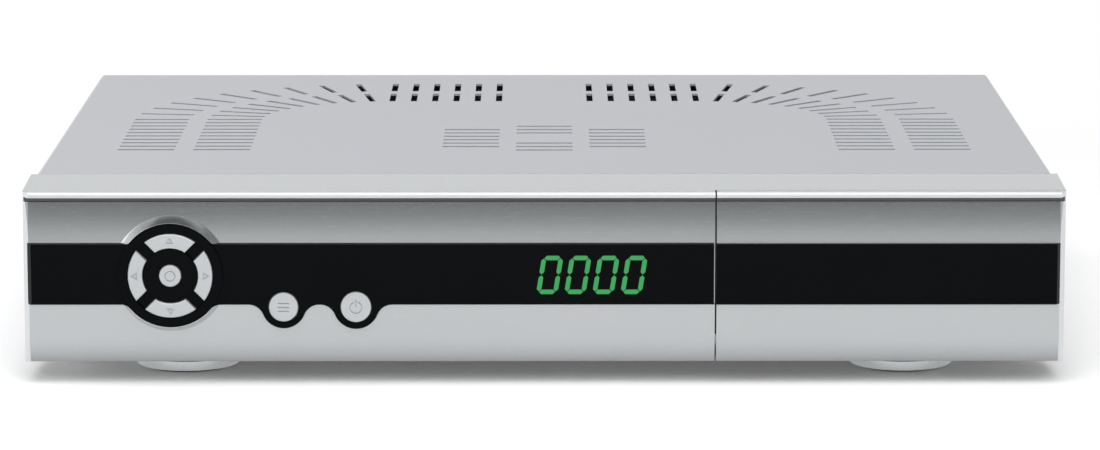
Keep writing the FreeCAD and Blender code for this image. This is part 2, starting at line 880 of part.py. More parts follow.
def usb_socket(x, z0, mouth, turn):
    """USB socket with its shell and tongue; it runs forward or back from its mouth."""
    level = z0 + usb_height / 2
    tongue_level = z0 + usb_height - usb_wall - usb_tongue

    def span(start, end):
        return min(mouth + turn * start, mouth + turn * end), max(mouth + turn * start, mouth + turn * end)

    shell = block(x, level, usb_width, usb_height, *span(0, usb_length))
    hollow = block(x, level, usb_width - 2 * usb_wall, usb_height - 2 * usb_wall, *span(-1, usb_length - 3))
    tongue = block(x, tongue_level, usb_width - 2, usb_tongue, *span(1, usb_length - 3))
    return fuse([shell.cut(hollow), tongue])


# ---------------------------------------------------------------- sheet-metal case
def slot_box(x, y, angle):
    """Cutter for one ventilation slot: its middle, and its long way as an angle from +X."""
    cutter = Part.makeBox(slot_length, slot_width, 4 * sheet,
                          Vector(-slot_length / 2, -slot_width / 2, top_z - 2 * sheet))
    cutter.rotate(Vector(0, 0, 0), Z, angle)
    cutter.translate(Vector(x, lip_y + y, 0))
    return cutter


def fan_slots():
    """Slots in two rows round each rear corner: up the side, round the fan, and to the middle."""
    slots = []
    for row in fan_rows:
        radius = row + slot_length / 2
        for index in range(1, fan_radial + 1):
            angle = index * slot_angle
            step = polar(angle, radius)
            slots.append((fan_x + step[0], fan_y + step[1], angle))
        for index in range(fan_side):
            slots.append((fan_x + radius, fan_y - index * slot_pitch, 0))
        for index in range(fan_middle):
            slots.append((fan_x - index * slot_pitch, fan_y + radius, 90))
    return slots


def field_slots():
    """Slots of the three blocks in the middle of the cover; the middle one has a gap halfway."""
    slots = []
    for row in range(field_rows):
        y = field_front + row * slot_pitch
        if 0 < row < field_rows - 1:
            slots += [(-field_column, y, 0), (field_column, y, 0)]
        if row < 3 or row > field_rows - 4:
            slots.append((0, y, 0))
    return slots


def side_vents():
    """Upright slots in the cover's two sides."""
    low, high = side_vent_low, side_vent_low + slot_length
    places = [first + index * slot_pitch for first in side_vent_y for index in range(side_vent_count)]
    return [box(-half, half, y - slot_width / 2, y + slot_width / 2, low, high) for y in places]


def folded_channel(width, y0, y1, z0, z1, thickness, radius):
    """Sheet bent into an upturned U, with round folds, from one depth to another."""
    def bar(inset):
        block = box(-width + inset, width - inset, y0 - inset, y1 + inset, z0 - 10, z1 - inset)
        edges = [edge for edge in block.Edges if edge.BoundBox.ZMin > floor_z + z1 - inset - 0.01
                 and edge.BoundBox.XLength < 0.01]
        return block.makeFillet(radius - inset, edges)
    return bar(0).cut(bar(thickness)).cut(box(-width, width, y0 - 5, y1 + 5, z0 - 20, z0))


def make_cover():
    """Folded cover with its ventilation slots and screw holes."""
    front = bezel_depth + slip
    cover = folded_channel(cover_half, front, panel_front - slip, cover_foot, case_height, sheet, fold_radius)
    cuts = []
    for x, y, angle in fan_slots():
        cuts += [slot_box(x, y, angle), slot_box(-x, y, 180 - angle)]
    cuts += [slot_box(x, y, angle) for x, y, angle in field_slots()]
    cuts += [cross_rod(-half, half, y, cover_screw_z, screw_hole) for y in cover_screw_y]
    return cut(cover, cuts + side_vents())


def panel_lugs():
    """Lugs of the tray, bent up behind its rear edge, which the rear panel is screwed to."""
    front, top = panel_front - sheet, board_z - slip
    return [box(x - lug_width / 2, x + lug_width / 2, front, panel_front, tray_z, top) for x in panel_screw_x]


def make_tray():
    """Folded tray: floor with vents, two side flanges, a low front wall and the panel's lugs."""
    neck = bezel_depth + tongue_length + slip
    narrow = tray_half - tongue_wall - slip
    tray = fuse([
        box(-narrow, narrow, tray_front, neck + 1, tray_z, tray_top),
        box(-tray_half, tray_half, neck, panel_front, tray_z, tray_top),
        box(-tray_half, -tray_half + sheet, neck, panel_front, tray_z, tray_flange),
        box(tray_half - sheet, tray_half, neck, panel_front, tray_z, tray_flange),
        box(-narrow + boss_side, bezel_x1 - boss_side - bezel_wall, tray_front, tray_front + sheet,
            tray_z, tray_front_wall),
    ] + panel_lugs())
    vents = []
    for x in floor_vent_x:
        for index in range(floor_vent_count):
            y = floor_vent_y + index * slot_pitch
            vents.append(box(x - slot_length, x + slot_length, y - slot_width / 2, y + slot_width / 2,
                             tray_z - 1, tray_top + 1))
    return cut(tray, vents)


def foot_places():
    """Middles of the four feet."""
    across = half - foot_inset_x
    return [(side * across, y) for y in (foot_front, case_depth - foot_rear) for side in (-1, 1)]


def make_foot_rings():
    """Round feet: a narrow neck on a wide ring with a bevelled rim."""
    low = rubber_thickness - foot_height
    ring_top = low + foot_ring
    section = [
        (0, 0, tray_z),
        (foot_neck, 0, tray_z),
        (foot_neck, 0, ring_top),
        (foot_radius - foot_bevel, 0, ring_top),
        (foot_radius, 0, ring_top - foot_bevel),
        (foot_radius, 0, low + foot_bevel),
        (foot_radius - foot_bevel, 0, low),
        (0, 0, low),
    ]
    return [outline(section, at(x, y, 0)).revolve(at(x, y, 0), Z, 360) for x, y in foot_places()]


def make_foot_pads():
    """Rubber discs under the feet, which the receiver stands on."""
    return [post(x, y, -foot_height, rubber_thickness - foot_height, rubber_radius) for x, y in foot_places()]


def post_places():
    """Middles of the posts under the two main boards."""
    places = []
    for (x0, x1, y0, y1), run in ((main_board_span, main_post_run), (power_board_span, power_post_run)):
        front = y0 + post_inset
        places += [(x, y) for x in (x0 + post_inset, x1 - post_inset) for y in (front, front + run)]
    return places


def hexagon(x, y, radius, z0, z1):
    """Upright hexagonal bar; the radius reaches its corners."""
    corners = [polar(60 * index, radius) for index in range(6)]
    return outline([(a, b, 0) for a, b in corners], at(x, y, z0)).extrude(Z * (z1 - z0))


def make_standoffs():
    """Hexagonal posts of the boards, pressed in the tray."""
    posts = [hexagon(x, y, post_radius, tray_top, board_z) for x, y in post_places()]
    return posts + [hexagon(x, y, post_radius, tray_top, card_board_z) for x, y in card_post_places()]


# ---------------------------------------------------------------- rear panel
def port(x, z, width, height):
    """Cut-out of the rear panel round a socket."""
    return block(x, z, width + 2 * port_gap, height + 2 * port_gap, panel_front - 1, case_depth + 1)


def audio_block():
    """Middle height, width and height of the round sockets' block."""
    low, high = audio_levels
    width = 2 * (audio_pitch + audio_margin)
    top = high + audio_margin
    return (board_top + top) / 2, width, top - board_top


def serial_level():
    """Middle height of the nine-pin socket."""
    return board_top + serial_rise


def rear_ports():
    """Every cut-out of the rear panel."""
    audio_z, audio_width, audio_height = audio_block()
    ports = [rod(x, z, panel_front - 1, case_depth + 1, f_radius + port_gap)
             for x in tuner_x for z in tuner_levels]
    ports += [port(scart_x, z, scart_width - boss_side, scart_height - 1) for z in scart_levels]
    return ports + [
        port(audio_x, audio_z, audio_width, audio_height),
        port(serial_x, serial_level(), serial_shell[0] + 2, serial_shell[1] + 2),
        port(network_x, board_top + network_body[2] / 2, network_body[0], network_body[2]),
        port(rear_usb_x, board_top + usb_height / 2, usb_width, usb_height),
        port(hdmi_x, board_top + hdmi_body[1] / 2 + hdmi_wall, hdmi_body[0], hdmi_body[1]),
        port(optical_x, board_top + optical_body[2] / 2, optical_body[0], optical_body[2]),
        port(rocker_x, rocker_z, rocker_width, rocker_height),
        port(inlet_x, inlet_z, inlet_body[0], inlet_body[1]),
    ]


def make_rear_panel():
    """Rear panel with flanges, cut-outs, screw holes and a field of vent slots."""
    top = case_height - sheet - slip
    front = panel_front - panel_flange
    panel = fuse([
        box(-tray_half, tray_half, panel_front, case_depth, tray_z, top),
        box(-tray_half, tray_half, front, panel_front + 0.1, top - sheet, top),
        box(-tray_half, -tray_half + sheet, front, panel_front + 0.1, tray_flange + slip, top),
        box(tray_half - sheet, tray_half, front, panel_front + 0.1, tray_flange + slip, top),
    ])
    low, high = rear_vent_rise
    vents = [block(rear_vent_x + 2 * index * slot_width, (low + high) / 2, slot_width, high - low,
                   panel_front - 1, case_depth + 1) for index in range(rear_vent_count)]
    screws = [rod(x, panel_screw_z, panel_front - 1, case_depth + 1, screw_hole) for x in panel_screw_x]
    return cut(panel, rear_ports() + vents + screws)


# ---------------------------------------------------------------- rear sockets
def make_tuner(index):
    """Screened tuner with two stamped dimples."""
    x = tuner_x[index]
    rear = panel_front - slip
    top = board_top + tuner_height
    can = box(x - tuner_width / 2, x + tuner_width / 2, rear - tuner_length, rear, board_top, top)
    edges = [edge for edge in can.Edges if edge.BoundBox.ZLength > tuner_height / 2]
    dimples = [box(x - tuner_width / 2 - 1, x + tuner_width / 2 + 1, rear - y - dimple_width, rear - y,
                   top - dimple_depth, top + 1) for y in dimple_y]
    return cut(can.makeChamfer(tuner_corner, edges), dimples)


def make_aerial_sockets():
    """Threaded aerial sockets, each with its hexagon and the hole for the cable's core."""
    end = case_depth + f_length
    corners = [polar(60 * index, f_nut) for index in range(6)]
    sockets = []
    for x in tuner_x:
        for z in tuner_levels:
            barrel = rod(x, z, panel_front - slip, end, f_radius)
            nut = outline([(a, 0, b) for a, b in corners], at(x, case_depth, z)).extrude(Y * f_nut_height)
            sockets.append(fuse([barrel, nut]).cut(rod(x, z, end - f_bore_depth, end + 1, f_bore)))
    return sockets


def make_hdmi():
    """Metal-shelled picture socket with chamfered lower corners and a tongue."""
    width, height, length = hdmi_body
    z = board_top + height / 2 + hdmi_wall

    def section(inset, start):
        w, h = width / 2 - inset, height / 2 - inset
        c = hdmi_corner
        points = [(-w + c, 0, -h), (w - c, 0, -h), (w, 0, -h + c), (w, 0, h), (-w, 0, h), (-w, 0, -h + c)]
        return outline(points, at(hdmi_x, start, z)).extrude(Y * (socket_face + inset - start))

    back = socket_face - length
    tongue = block(hdmi_x, z, width - 4.4, 1.1, back + 2, socket_face - 1)
    foot = box(hdmi_x - width / 2 + hdmi_corner, hdmi_x + width / 2 - hdmi_corner, back, panel_front - 1,
               board_top, board_top + hdmi_wall + 0.1)
    return fuse([section(0, back).cut(section(hdmi_wall, back + 3)), tongue, foot])


def make_serial():
    """Nine-pin socket: flange, body and shell."""
    level = serial_level()
    width, height = serial_shell
    flange_width, flange_depth = serial_flange
    rise = level + height / 2 + hdmi_corner
    front = panel_front - slip - flange_depth
    flange = box(serial_x - flange_width / 2, serial_x + flange_width / 2, front, panel_front - slip,
                 board_top, rise)
    body = box(serial_x - width / 2, serial_x + width / 2, front - 10, front, board_top, rise - 1)
    end = socket_face + serial_reach
    shell = rounded_block(serial_x, level, width, height, front, end, height / 4)
    core = rounded_block(serial_x, level, width - 2 * serial_wall, height - 2 * serial_wall,
                         socket_face, end + 1, height / 4 - serial_wall / 2)
    return fuse([flange, body, shell.cut(core)])


def make_network():
    """Network socket, stepped for the plug's latch."""
    width, depth, height = network_body
    mouth_width, mouth_height, mouth_depth = network_mouth
    latch_width, latch_height, latch_depth = network_latch
    sill = board_top + network_sill
    body = box(network_x - width / 2, network_x + width / 2, socket_face - depth, socket_face,
               board_top, board_top + height)
    mouth = box(network_x - mouth_width / 2, network_x + mouth_width / 2, socket_face - mouth_depth,
                socket_face + 1, sill, sill + mouth_height)
    latch = box(network_x - latch_width / 2, network_x + latch_width / 2, socket_face - latch_depth,
                socket_face + 1, sill + mouth_height - 0.1, sill + mouth_height + latch_height)
    return body.cut(mouth).cut(latch)


def make_optical():
    """Optical sound outlet with its flap."""
    width, depth, height = optical_body
    level = board_top + height / 2
    body = block(optical_x, level, width, height, socket_face - depth, socket_face)
    mouth = rounded_block(optical_x, level, optical_mouth, optical_mouth, socket_face - 1, socket_face + 1,
                          optical_mouth / 8)
    flap_side = optical_mouth - 1
    flap = block(optical_x, level, flap_side, flap_side, socket_face - 1.1, socket_face - 0.4)
    return fuse([body.cut(mouth), flap])


def make_audio_housing():
    """Block that carries the six round sockets."""
    level, width, height = audio_block()
    return block(audio_x, level, width, height, socket_face - audio_depth, socket_face)


def make_audio_rings():
    """Metal sleeves of the round sockets."""
    end = socket_face + audio_reach
    rings = []
    for step in (-1, 0, 1):
        for z in audio_levels:
            x = audio_x + step * audio_pitch
            sleeve = rod(x, z, socket_face, end, audio_sleeve)
            rings.append(sleeve.cut(rod(x, z, socket_face + 1, end + 1, audio_bore)))
    return rings


def make_scarts():
    """Two wide sockets, one on the other, each with its groove and its slots."""
    split = scart_levels[1] - scart_height / 2
    spans = ((board_top, split), (split, split + scart_height))
    rim_width, rim_height = scart_rim
    blade_width, blade_height, blade_depth = blade_size
    sockets = []
    for z, (z0, z1) in zip(scart_levels, spans):
        body = box(scart_x - scart_width / 2, scart_x + scart_width / 2, panel_front - scart_depth,
                   panel_front - slip, z0, z1)
        nose = block(scart_x, z, scart_width - boss_side, scart_height - 1, panel_front - 1,
                     socket_face + scart_groove)
        rim = rounded_block(scart_x, z, rim_width, rim_height, socket_face - scart_well, socket_face + 2,
                            rim_height / 4)
        core = rounded_block(scart_x, z, rim_width - 2 * scart_groove, rim_height - 2 * scart_groove,
                             socket_face - scart_well - 1, socket_face + 3, rim_height / 4 - scart_groove / 2)
        slots = [rim.cut(core)]
        first = scart_x - blade_pitch * (scart_blades - 0.5) / 2
        for index in range(scart_blades):
            for side in (-1, 1):
                x = first + index * blade_pitch + (blade_pitch / 2 if side > 0 else 0)
                slots.append(block(x, z + side * blade_rise, blade_width, blade_height,
                                   socket_face - blade_depth, socket_face + 2))
        sockets.append(cut(fuse([body, nose]), slots))
    return sockets


def make_inlet():
    """Mains inlet: a flanged block with its recess and two pins."""
    rim = case_depth + rim_thickness
    body = rounded_block(inlet_x, inlet_z, *inlet_body, panel_front - inlet_depth, rim, 3.0)
    flange = rounded_block(inlet_x, inlet_z, *inlet_flange, case_depth, rim, 2.0)
    well = case_depth - inlet_well
    mouth = rounded_block(inlet_x, inlet_z, *inlet_mouth, well, rim + 1, inlet_mouth[1] / 2 - 0.1)
    pins = [rod(inlet_x + side * inlet_pin_pitch / 2, inlet_z, well - 1, case_depth - 2.5, inlet_pin)
            for side in (-1, 1)]
    rear = panel_front - inlet_depth / 2
    foot = box(inlet_x - 9, inlet_x + 9, rear - 6, rear, board_top, inlet_z - inlet_body[1] / 2 + 1)
    return fuse([fuse([body, flange]).cut(mouth), foot] + pins)


def make_rocker_frame():
    """Frame of the mains switch, open to the rear for its rocker."""
    rim = case_depth + rim_thickness
    body = block(rocker_x, rocker_z, rocker_width, rocker_height, panel_front - rocker_depth, rim)
    flange = rounded_block(rocker_x, rocker_z, rocker_width + 2 * rocker_rim, rocker_height + 2 * rocker_rim,
                           case_depth, rim, 1.0)
    well = block(rocker_x, rocker_z, rocker_width - 2 * rocker_wall, rocker_height - 2 * rocker_wall,
                 case_depth - rocker_well, rim + 1)
    rear = panel_front - rocker_depth / 2
    foot = box(rocker_x - 5, rocker_x + 5, rear - 7, rear, board_top, rocker_z - rocker_height / 2 + 1)
    return fuse([body, flange, foot]).cut(well)


def make_rocker():
    """Rocker of the mains switch, thrown to one side."""
    reach = rocker_height / 2 - rocker_wall - slip - 0.4
    width = rocker_width - 2 * rocker_wall - 2 * slip
    depth = case_depth - rocker_axle
    thick = rocker_axle + 1.4
    face = [
        (0, -thick, -reach + 1.5),
        (0, thick + 1.0, -reach),
        ((0, thick - 0.6, 0), (0, thick + 1.0, reach)),
        (0, -thick, reach - 1.5),
    ]
    rocker = outline(face, at(rocker_x - width / 2, depth, rocker_z)).extrude(X * width)
    rocker.rotate(at(rocker_x, depth, rocker_z), X, -rocker_throw / 2)
    axle = cross_rod(rocker_x - width / 2 - slip, rocker_x + width / 2 + slip, depth, rocker_z, 1.0)
    return fuse([rocker, axle])


# ---------------------------------------------------------------- boards and what stands on them
def make_board(span):
    """Plain board."""
    x0, x1, y0, y1 = span
    return box(x0, x1, y0, y1, board_z, board_top)


def make_heatsink():
    """Finned heatsink on the processor."""
    x, y, size = heatsink_place
    low = board_top + chip_height
    left, front = x - size / 2, y - size / 2
    pitch = (size - fin_thickness) / (fin_count - 1)
    fins = [box(left + index * pitch, left + index * pitch + fin_thickness, front, front + size,
                low, low + heatsink_height) for index in range(fin_count)]
    return fuse([box(left, left + size, front, front + size, low, low + heatsink_base)] + fins)


def make_processor():
    """Processor under the heatsink."""
    x, y = heatsink_place[:2]
    reach = chip_side / 2
    return box(x - reach, x + reach, y - reach, y + reach, board_top, board_top + chip_height)


def make_memory():
    """Memory chips and smaller circuits."""
    return [box(x - w / 2, x + w / 2, y - d / 2, y + d / 2, board_top, board_top + memory_height)
            for x, y, w, d in memory_places]


def make_capacitors(places):
    """Upright can capacitors with a bevelled top."""
    cans = []
    for x, y, radius, height in places:
        bevel = capacitor_bevel
        shoulder = height - bevel
        section = [(0, 0, 0), (radius, 0, 0), (radius, 0, shoulder),
                   (radius - bevel, 0, height), (0, 0, height)]
        cans.append(outline(section, at(x, y, board_top)).revolve(at(x, y, board_top), Z, 360))
    return cans


def make_transformer():
    """Transformer: ferrite core round a wound bobbin."""
    x, y = transformer_place
    width, depth, height = core_size
    low = board_top + core_rise
    core = box(x - width / 2, x + width / 2, y - depth / 2, y + depth / 2, low, low + height)
    reach = width / 2 - core_limb
    z0, z1 = low + core_limb, low + height - core_limb
    core = core.cut(box(x - reach, x + reach, y - depth, y + depth, z0, z1))
    reach -= bobbin_play
    z0, z1 = z0 + bobbin_play, z1 - bobbin_play
    length = depth - 2.0
    parts = [
        box(x - reach, x + reach, y - length, y + length, z0, z0 + bobbin_cheek),
        box(x - reach, x + reach, y - length, y + length, z1 - bobbin_cheek, z1),
        post(x, y, z0 + 1, z1 - 1, winding_radius),
    ]
    for side in (-1, 1):
        middle = y + side * length
        parts.append(box(x - winding_radius, x + winding_radius, middle - sheet, middle + sheet,
                         board_top, z0 + 1))
    return [core, fuse(parts)]


def make_power_heatsink():
    """Upright aluminium plate with ribs that cools the supply's transistor."""
    front, rear = cooler_run
    pitch = (rear - front) / cooler_fins
    shapes = [box(cooler_x, cooler_x + cooler_thickness, front, rear, board_top, board_top + cooler_height)]
    for index in range(cooler_fins):
        y = front + index * pitch
        shapes.append(box(cooler_x - cooler_fin, cooler_x + 0.1, y, y + cooler_thickness / 2,
                          board_top + cooler_fin, board_top + cooler_height))
    return fuse(shapes)


def make_fuse():
    """Fuse between its two clips."""
    x, y = fuse_place
    z = board_top + fuse_rise
    clip_width, clip_length = clip_size
    tube = rod(x, z, y - fuse_length / 2, y + fuse_length / 2, fuse_radius)
    ends = (fuse_length - clip_length) / 2
    clips = [box(x - clip_width / 2, x + clip_width / 2, y + side * ends - clip_length / 2,
                 y + side * ends + clip_length / 2, board_top, z) for side in (-1, 1)]
    return fuse([tube] + clips)


def ribbon(x, width, thickness, path):
    """Flat lead through places (depth, height), with a round at each bend."""
    shapes = []
    for (y0, z0), (y1, z1) in zip(path, path[1:]):
        run = math.hypot(y1 - y0, z1 - z0)
        turn = math.degrees(math.atan2(z1 - z0, y1 - y0))
        bar = Part.makeBox(width, run, thickness, at(x - width / 2, y0, z0 - thickness / 2))
        bar.rotate(at(x, y0, z0), X, turn)
        shapes.append(bar)
    for y, z in path[1:-1]:
        shapes.append(cross_rod(x - width / 2, x + width / 2, y, z, thickness / 2))
    return fuse(shapes)


def make_front_lead():
    """Flat lead from the upright board, along the tray's floor, to the main board."""
    low = tray_top + lead_thickness
    board_front = main_board_span[2]
    rear = board_front + rear_header_inset
    top = board_top + header_size[2] + 1.3
    path = [
        (header_front + slip, front_header_z), (header_front + 5, front_header_z - 1),
        (header_front + 12, front_header_z - 5), (header_front + 13, low + 2), (header_front + 21, low),
        (board_front - 16, low), (board_front - 10, low + 2), (board_front - 7, low + 7),
        (board_front - 4, board_top + 9), (board_front + 2, board_top + 11),
        (rear - 1, board_top + 9), (rear, top),
    ]
    return ribbon(lead_x, lead_width, lead_thickness, path)


def make_headers():
    """Plugs at the ends of the lead."""
    width, depth, height = header_size
    rear = main_board_span[2] + rear_header_inset
    front = front_board_depth + board
    return [
        block(lead_x, front_header_z, width, height, front, front + depth),
        box(lead_x - width / 2, lead_x + width / 2, rear - depth / 2, rear + depth / 2, board_top,
            board_top + height + 1),
    ]


# ---------------------------------------------------------------- the assembly
save("front_bezel", make_bezel())
save("window_lens", make_lens())
save("door", make_door())
save("door_band", make_door_band())
save("door_hinge_pins", make_hinge_pins())
for key_name, key_angle in arc_keys.items():
    save(key_name, make_arc_key(key_angle))
for key_name in round_keys:
    save(key_name, make_round_key(key_name))
save("display_module", make_display())
save("display_digits", make_digits())
save("front_board", make_front_board())
save("front_switches", make_switches())
save("remote_eye", make_remote_eye())
save("card_board", make_card_board())
save("module_slot_lower", make_cage(0))
save("module_slot_upper", make_cage(1))
save("eject_button_lower", make_eject(0))
save("eject_button_upper", make_eject(1))
save("card_reader", make_reader())
save("front_usb", usb_socket(usb_x, cage_base, recess_floor + port_proud, 1))
save("top_cover", make_cover())
save("base_tray", make_tray())
save("foot_rings", make_foot_rings())
save("foot_pads", make_foot_pads())
save("rear_panel", make_rear_panel())
save("board_standoffs", make_standoffs())
save("main_board", make_board(main_board_span))
save("processor", make_processor())
save("heatsink", make_heatsink())
save("memory_chips", make_memory())
save("board_capacitors", make_capacitors(board_capacitor_places))
save("tuner_a", make_tuner(0))
save("tuner_b", make_tuner(1))
save("aerial_sockets", make_aerial_sockets())
save("hdmi_socket", make_hdmi())
save("serial_socket", make_serial())
save("network_socket", make_network())
save("rear_usb", usb_socket(rear_usb_x, board_top, socket_face, -1))
save("optical_socket", make_optical())
save("audio_housing", make_audio_housing())
save("audio_rings", make_audio_rings())
save("scart_sockets", make_scarts())
save("power_board", make_board(power_board_span))
save("transformer", make_transformer())
save("power_capacitors", make_capacitors(power_capacitor_places))
save("power_heatsink", make_power_heatsink())
save("fuse_holder", make_fuse())
save("mains_inlet", make_inlet())
save("switch_frame", make_rocker_frame())
save("mains_rocker", make_rocker())
save("front_lead", make_front_lead())
save("lead_headers", make_headers())
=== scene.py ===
import json
import math

import bmesh
import bpy
from mathutils import Matrix, Vector


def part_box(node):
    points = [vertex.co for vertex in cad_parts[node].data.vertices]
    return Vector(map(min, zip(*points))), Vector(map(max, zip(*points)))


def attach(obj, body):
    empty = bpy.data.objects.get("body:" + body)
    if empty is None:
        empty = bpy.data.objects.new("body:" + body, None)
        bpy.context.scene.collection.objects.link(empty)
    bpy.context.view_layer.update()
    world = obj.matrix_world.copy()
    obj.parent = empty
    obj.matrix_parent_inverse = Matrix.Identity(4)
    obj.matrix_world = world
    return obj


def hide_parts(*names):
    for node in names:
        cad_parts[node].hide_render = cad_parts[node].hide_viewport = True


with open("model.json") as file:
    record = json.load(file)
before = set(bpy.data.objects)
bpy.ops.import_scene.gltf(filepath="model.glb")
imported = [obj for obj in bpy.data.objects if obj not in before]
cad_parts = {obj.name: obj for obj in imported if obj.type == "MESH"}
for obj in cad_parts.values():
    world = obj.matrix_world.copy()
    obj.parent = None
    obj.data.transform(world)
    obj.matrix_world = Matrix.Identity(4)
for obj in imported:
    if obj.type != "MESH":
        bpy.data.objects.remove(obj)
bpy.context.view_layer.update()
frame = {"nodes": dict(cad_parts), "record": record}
nodes = frame["nodes"]
slotOf = {row["node"]: row["material_slot"] for row in frame["record"]["subparts"]}
mm = 0.001
print("frame loaded:", len(nodes), "nodes")

# the front lip and the moulding's underside, which the depths and heights below start from
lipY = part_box("display_module")[0].y - 1.0 * mm
baseZ = 7.5 * mm


# a socket's value, so that shader maths reads as ordinary expressions
class Link:
    def __init__(self, paint, socket):
        self.paint = paint
        self.socket = socket

    def __add__(self, other):
        return self.paint.math("ADD", self, other)

    def __sub__(self, other):
        return self.paint.math("SUBTRACT", self, other)

    def __rsub__(self, other):
        return self.paint.math("SUBTRACT", other, self)

    def __mul__(self, other):
        return self.paint.math("MULTIPLY", self, other)

    def __truediv__(self, other):
        return self.paint.math("DIVIDE", self, other)

    def __gt__(self, other):
        return self.paint.math("GREATER_THAN", self, other)

    def __lt__(self, other):
        return self.paint.math("LESS_THAN", self, other)


# one material's nodes
class Paint:
    def __init__(self, name):
        self.material = bpy.data.materials.new(name)
        self.material.use_nodes = True
        self.tree = self.material.node_tree
        self.shader = self.tree.nodes["Principled BSDF"]

    # makes a node of any type: its settings first, then the values or links of its sockets
    def node(self, kind, settings, *values, out=0, **named):
        made = self.tree.nodes.new(kind)
        for key, value in settings.items():
            setattr(made, key, value)
        for index, value in enumerate(values):
            self.join(value, made.inputs[index])
        for key, value in named.items():
            self.join(value, made.inputs[key.replace("_", " ")])
        return Link(self, made.outputs[out])

    def join(self, value, socket):
        if isinstance(value, Link):
            self.tree.links.new(value.socket, socket)
        else:
            socket.default_value = value

    def math(self, operation, *values):
        return self.node("ShaderNodeMath", {"operation": operation}, *values)

    # a value kept between 0 and 1
    def limited(self, value):
        return self.node("ShaderNodeMath", {"operation": "MULTIPLY", "use_clamp": True}, value, 1.0)

    # object coordinates, scaled
    def places(self, scale=(1, 1, 1)):
        where = self.node("ShaderNodeTexCoord", {}, out=3)
        return self.node("ShaderNodeMapping", {}, Vector=where, Scale=scale)

    # cloudy pattern whose blotches are about this size, shorter along an axis with a larger stretch
    def noise(self, size, detail=2.0, stretch=(1, 1, 1)):
        scale = [part / size for part in stretch]
        return self.node("ShaderNodeTexNoise", {}, Vector=self.places(scale), Scale=1.0, Detail=detail)

    def blend(self, share, first, second):
        mix = self.node("ShaderNodeMix", {"data_type": "RGBA"}, share, out=2)
        self.join(first, mix.socket.node.inputs[6])
        self.join(second, mix.socket.node.inputs[7])
        return mix

    def set(self, **named):
        for key, value in named.items():
            self.join(value, self.shader.inputs[key.replace("_", " ")])
        return self

    def bump(self, height, depth):
        return self.set(Normal=self.node("ShaderNodeBump", {}, Height=height, Distance=depth))


# a colour made lighter or darker
def shade(colour, factor):
    return tuple(min(part * factor, 1.0) for part in colour) + (1.0,)


# where light and shade are painted into the front's lacquer: across, over the moulding's underside and
# behind the lip
frontPaintedLight = {
    "foot": 9.0, "footPaintedShade": 0.6,       # painted shade, darker from here down
    "head": 26.0, "headPaintedShade": 0.553,    # and painted shade from here up to the groove
    "grooveLow": 53.1, "lipLow": 54.6, "lipTop": 56.3,
    "grooveFront": 0.15, "grooveBack": 2.7, "lipBack": 1.2,
    # painted shade in the groove; painted highlight along the lip; painted shade over the moulding's
    # top
    "groovePaintedShade": 0.19, "lipPaintedHighlight": 1.68, "topPaintedShade": 0.95,
    "gap": 55.9, "gapHalf": 0.27, "gapBack": 3.65, "gapPaintedShadow": 0.06,    # painted shadow in the gap beside the door
    "pad": (-121.7, 29.6), "bossIn": 17.0, "bossOut": 19.15,    # boss over the pad, with a painted highlight and painted shade
    "bossPaintedShade": 0.5, "bossPaintedHighlight": 1.85,
    "bossRamp": (-0.09, 0.35),           # how fast the painted highlight grows to the left, and where it starts
    "facetAcross": 168.1, "facetBack": 3.4, "facetPaintedHighlight": 1.3,    # painted highlight on the flats at the front corners
}


# painted light and shade over the front's lacquer
def paintFrontLight(paint, tone, colour):
    place = paint.node("ShaderNodeSeparateXYZ", {}, paint.places())
    depth = Link(paint, place.socket.node.outputs[1]) - lipY
    height = Link(paint, place.socket.node.outputs[2]) - baseZ
    tones = frontPaintedLight
    aboveGroove, aboveLip = height > tones["lipLow"] * mm, height > tones["lipTop"] * mm
    # painted shade in the groove under the lip
    groove = ((height > tones["grooveLow"] * mm) * (1 - aboveGroove)
              * (depth > tones["grooveFront"] * mm) * (depth < tones["grooveBack"] * mm))
    # painted highlight along the lip
    lip = aboveGroove * (1 - aboveLip) * (depth < tones["lipBack"] * mm)
    # painted shade towards the lower edge
    foot = paint.limited(1 - height / (tones["foot"] * mm))
    # painted shade up towards the groove, standing in for a dark reflection
    head = paint.limited((height / mm - tones["head"]) / (tones["grooveLow"] - tones["head"]))
    tone = paint.blend(foot * foot, tone, shade(colour, tones["footPaintedShade"]))
    tone = paint.blend(head * head, tone, shade(colour, tones["headPaintedShade"]))
    side = Link(paint, place.socket.node.outputs[0])
    across = paint.math("ABSOLUTE", side)
    # painted shadow in the gap beside the door
    gap = ((paint.math("ABSOLUTE", side - tones["gap"] * mm) < tones["gapHalf"] * mm)
           * (depth < tones["gapBack"] * mm))
    # painted reflection on the boss over the pad: highlight to the left, shade over its top
    padSide, padHeight = side / mm - tones["pad"][0], height / mm - tones["pad"][1]
    away = paint.math("SQRT", padSide * padSide + padHeight * padHeight)
    boss = (away > tones["bossIn"]) * (away < tones["bossOut"]) * (padHeight > 0.0)
    bright = paint.limited(padSide * tones["bossRamp"][0] - tones["bossRamp"][1])
    bossPaintedReflection = paint.blend(bright, shade(colour, tones["bossPaintedShade"]),
                           shade(colour, tones["bossPaintedHighlight"]))
    # painted highlight on the corner flats
    facet = (across > tones["facetAcross"] * mm) * (depth < tones["facetBack"] * mm)
    tone = paint.blend(facet, tone, shade(colour, tones["facetPaintedHighlight"]))
    tone = paint.blend(boss, tone, bossPaintedReflection)
    tone = paint.blend(groove, tone, shade(colour, tones["groovePaintedShade"]))
    tone = paint.blend(lip, tone, shade(colour, tones["lipPaintedHighlight"]))
    # painted shade over the moulding's top
    tone = paint.blend(aboveLip, tone, shade(colour, tones["topPaintedShade"]))
    return paint.blend(gap, tone, shade(colour, tones["gapPaintedShadow"]))


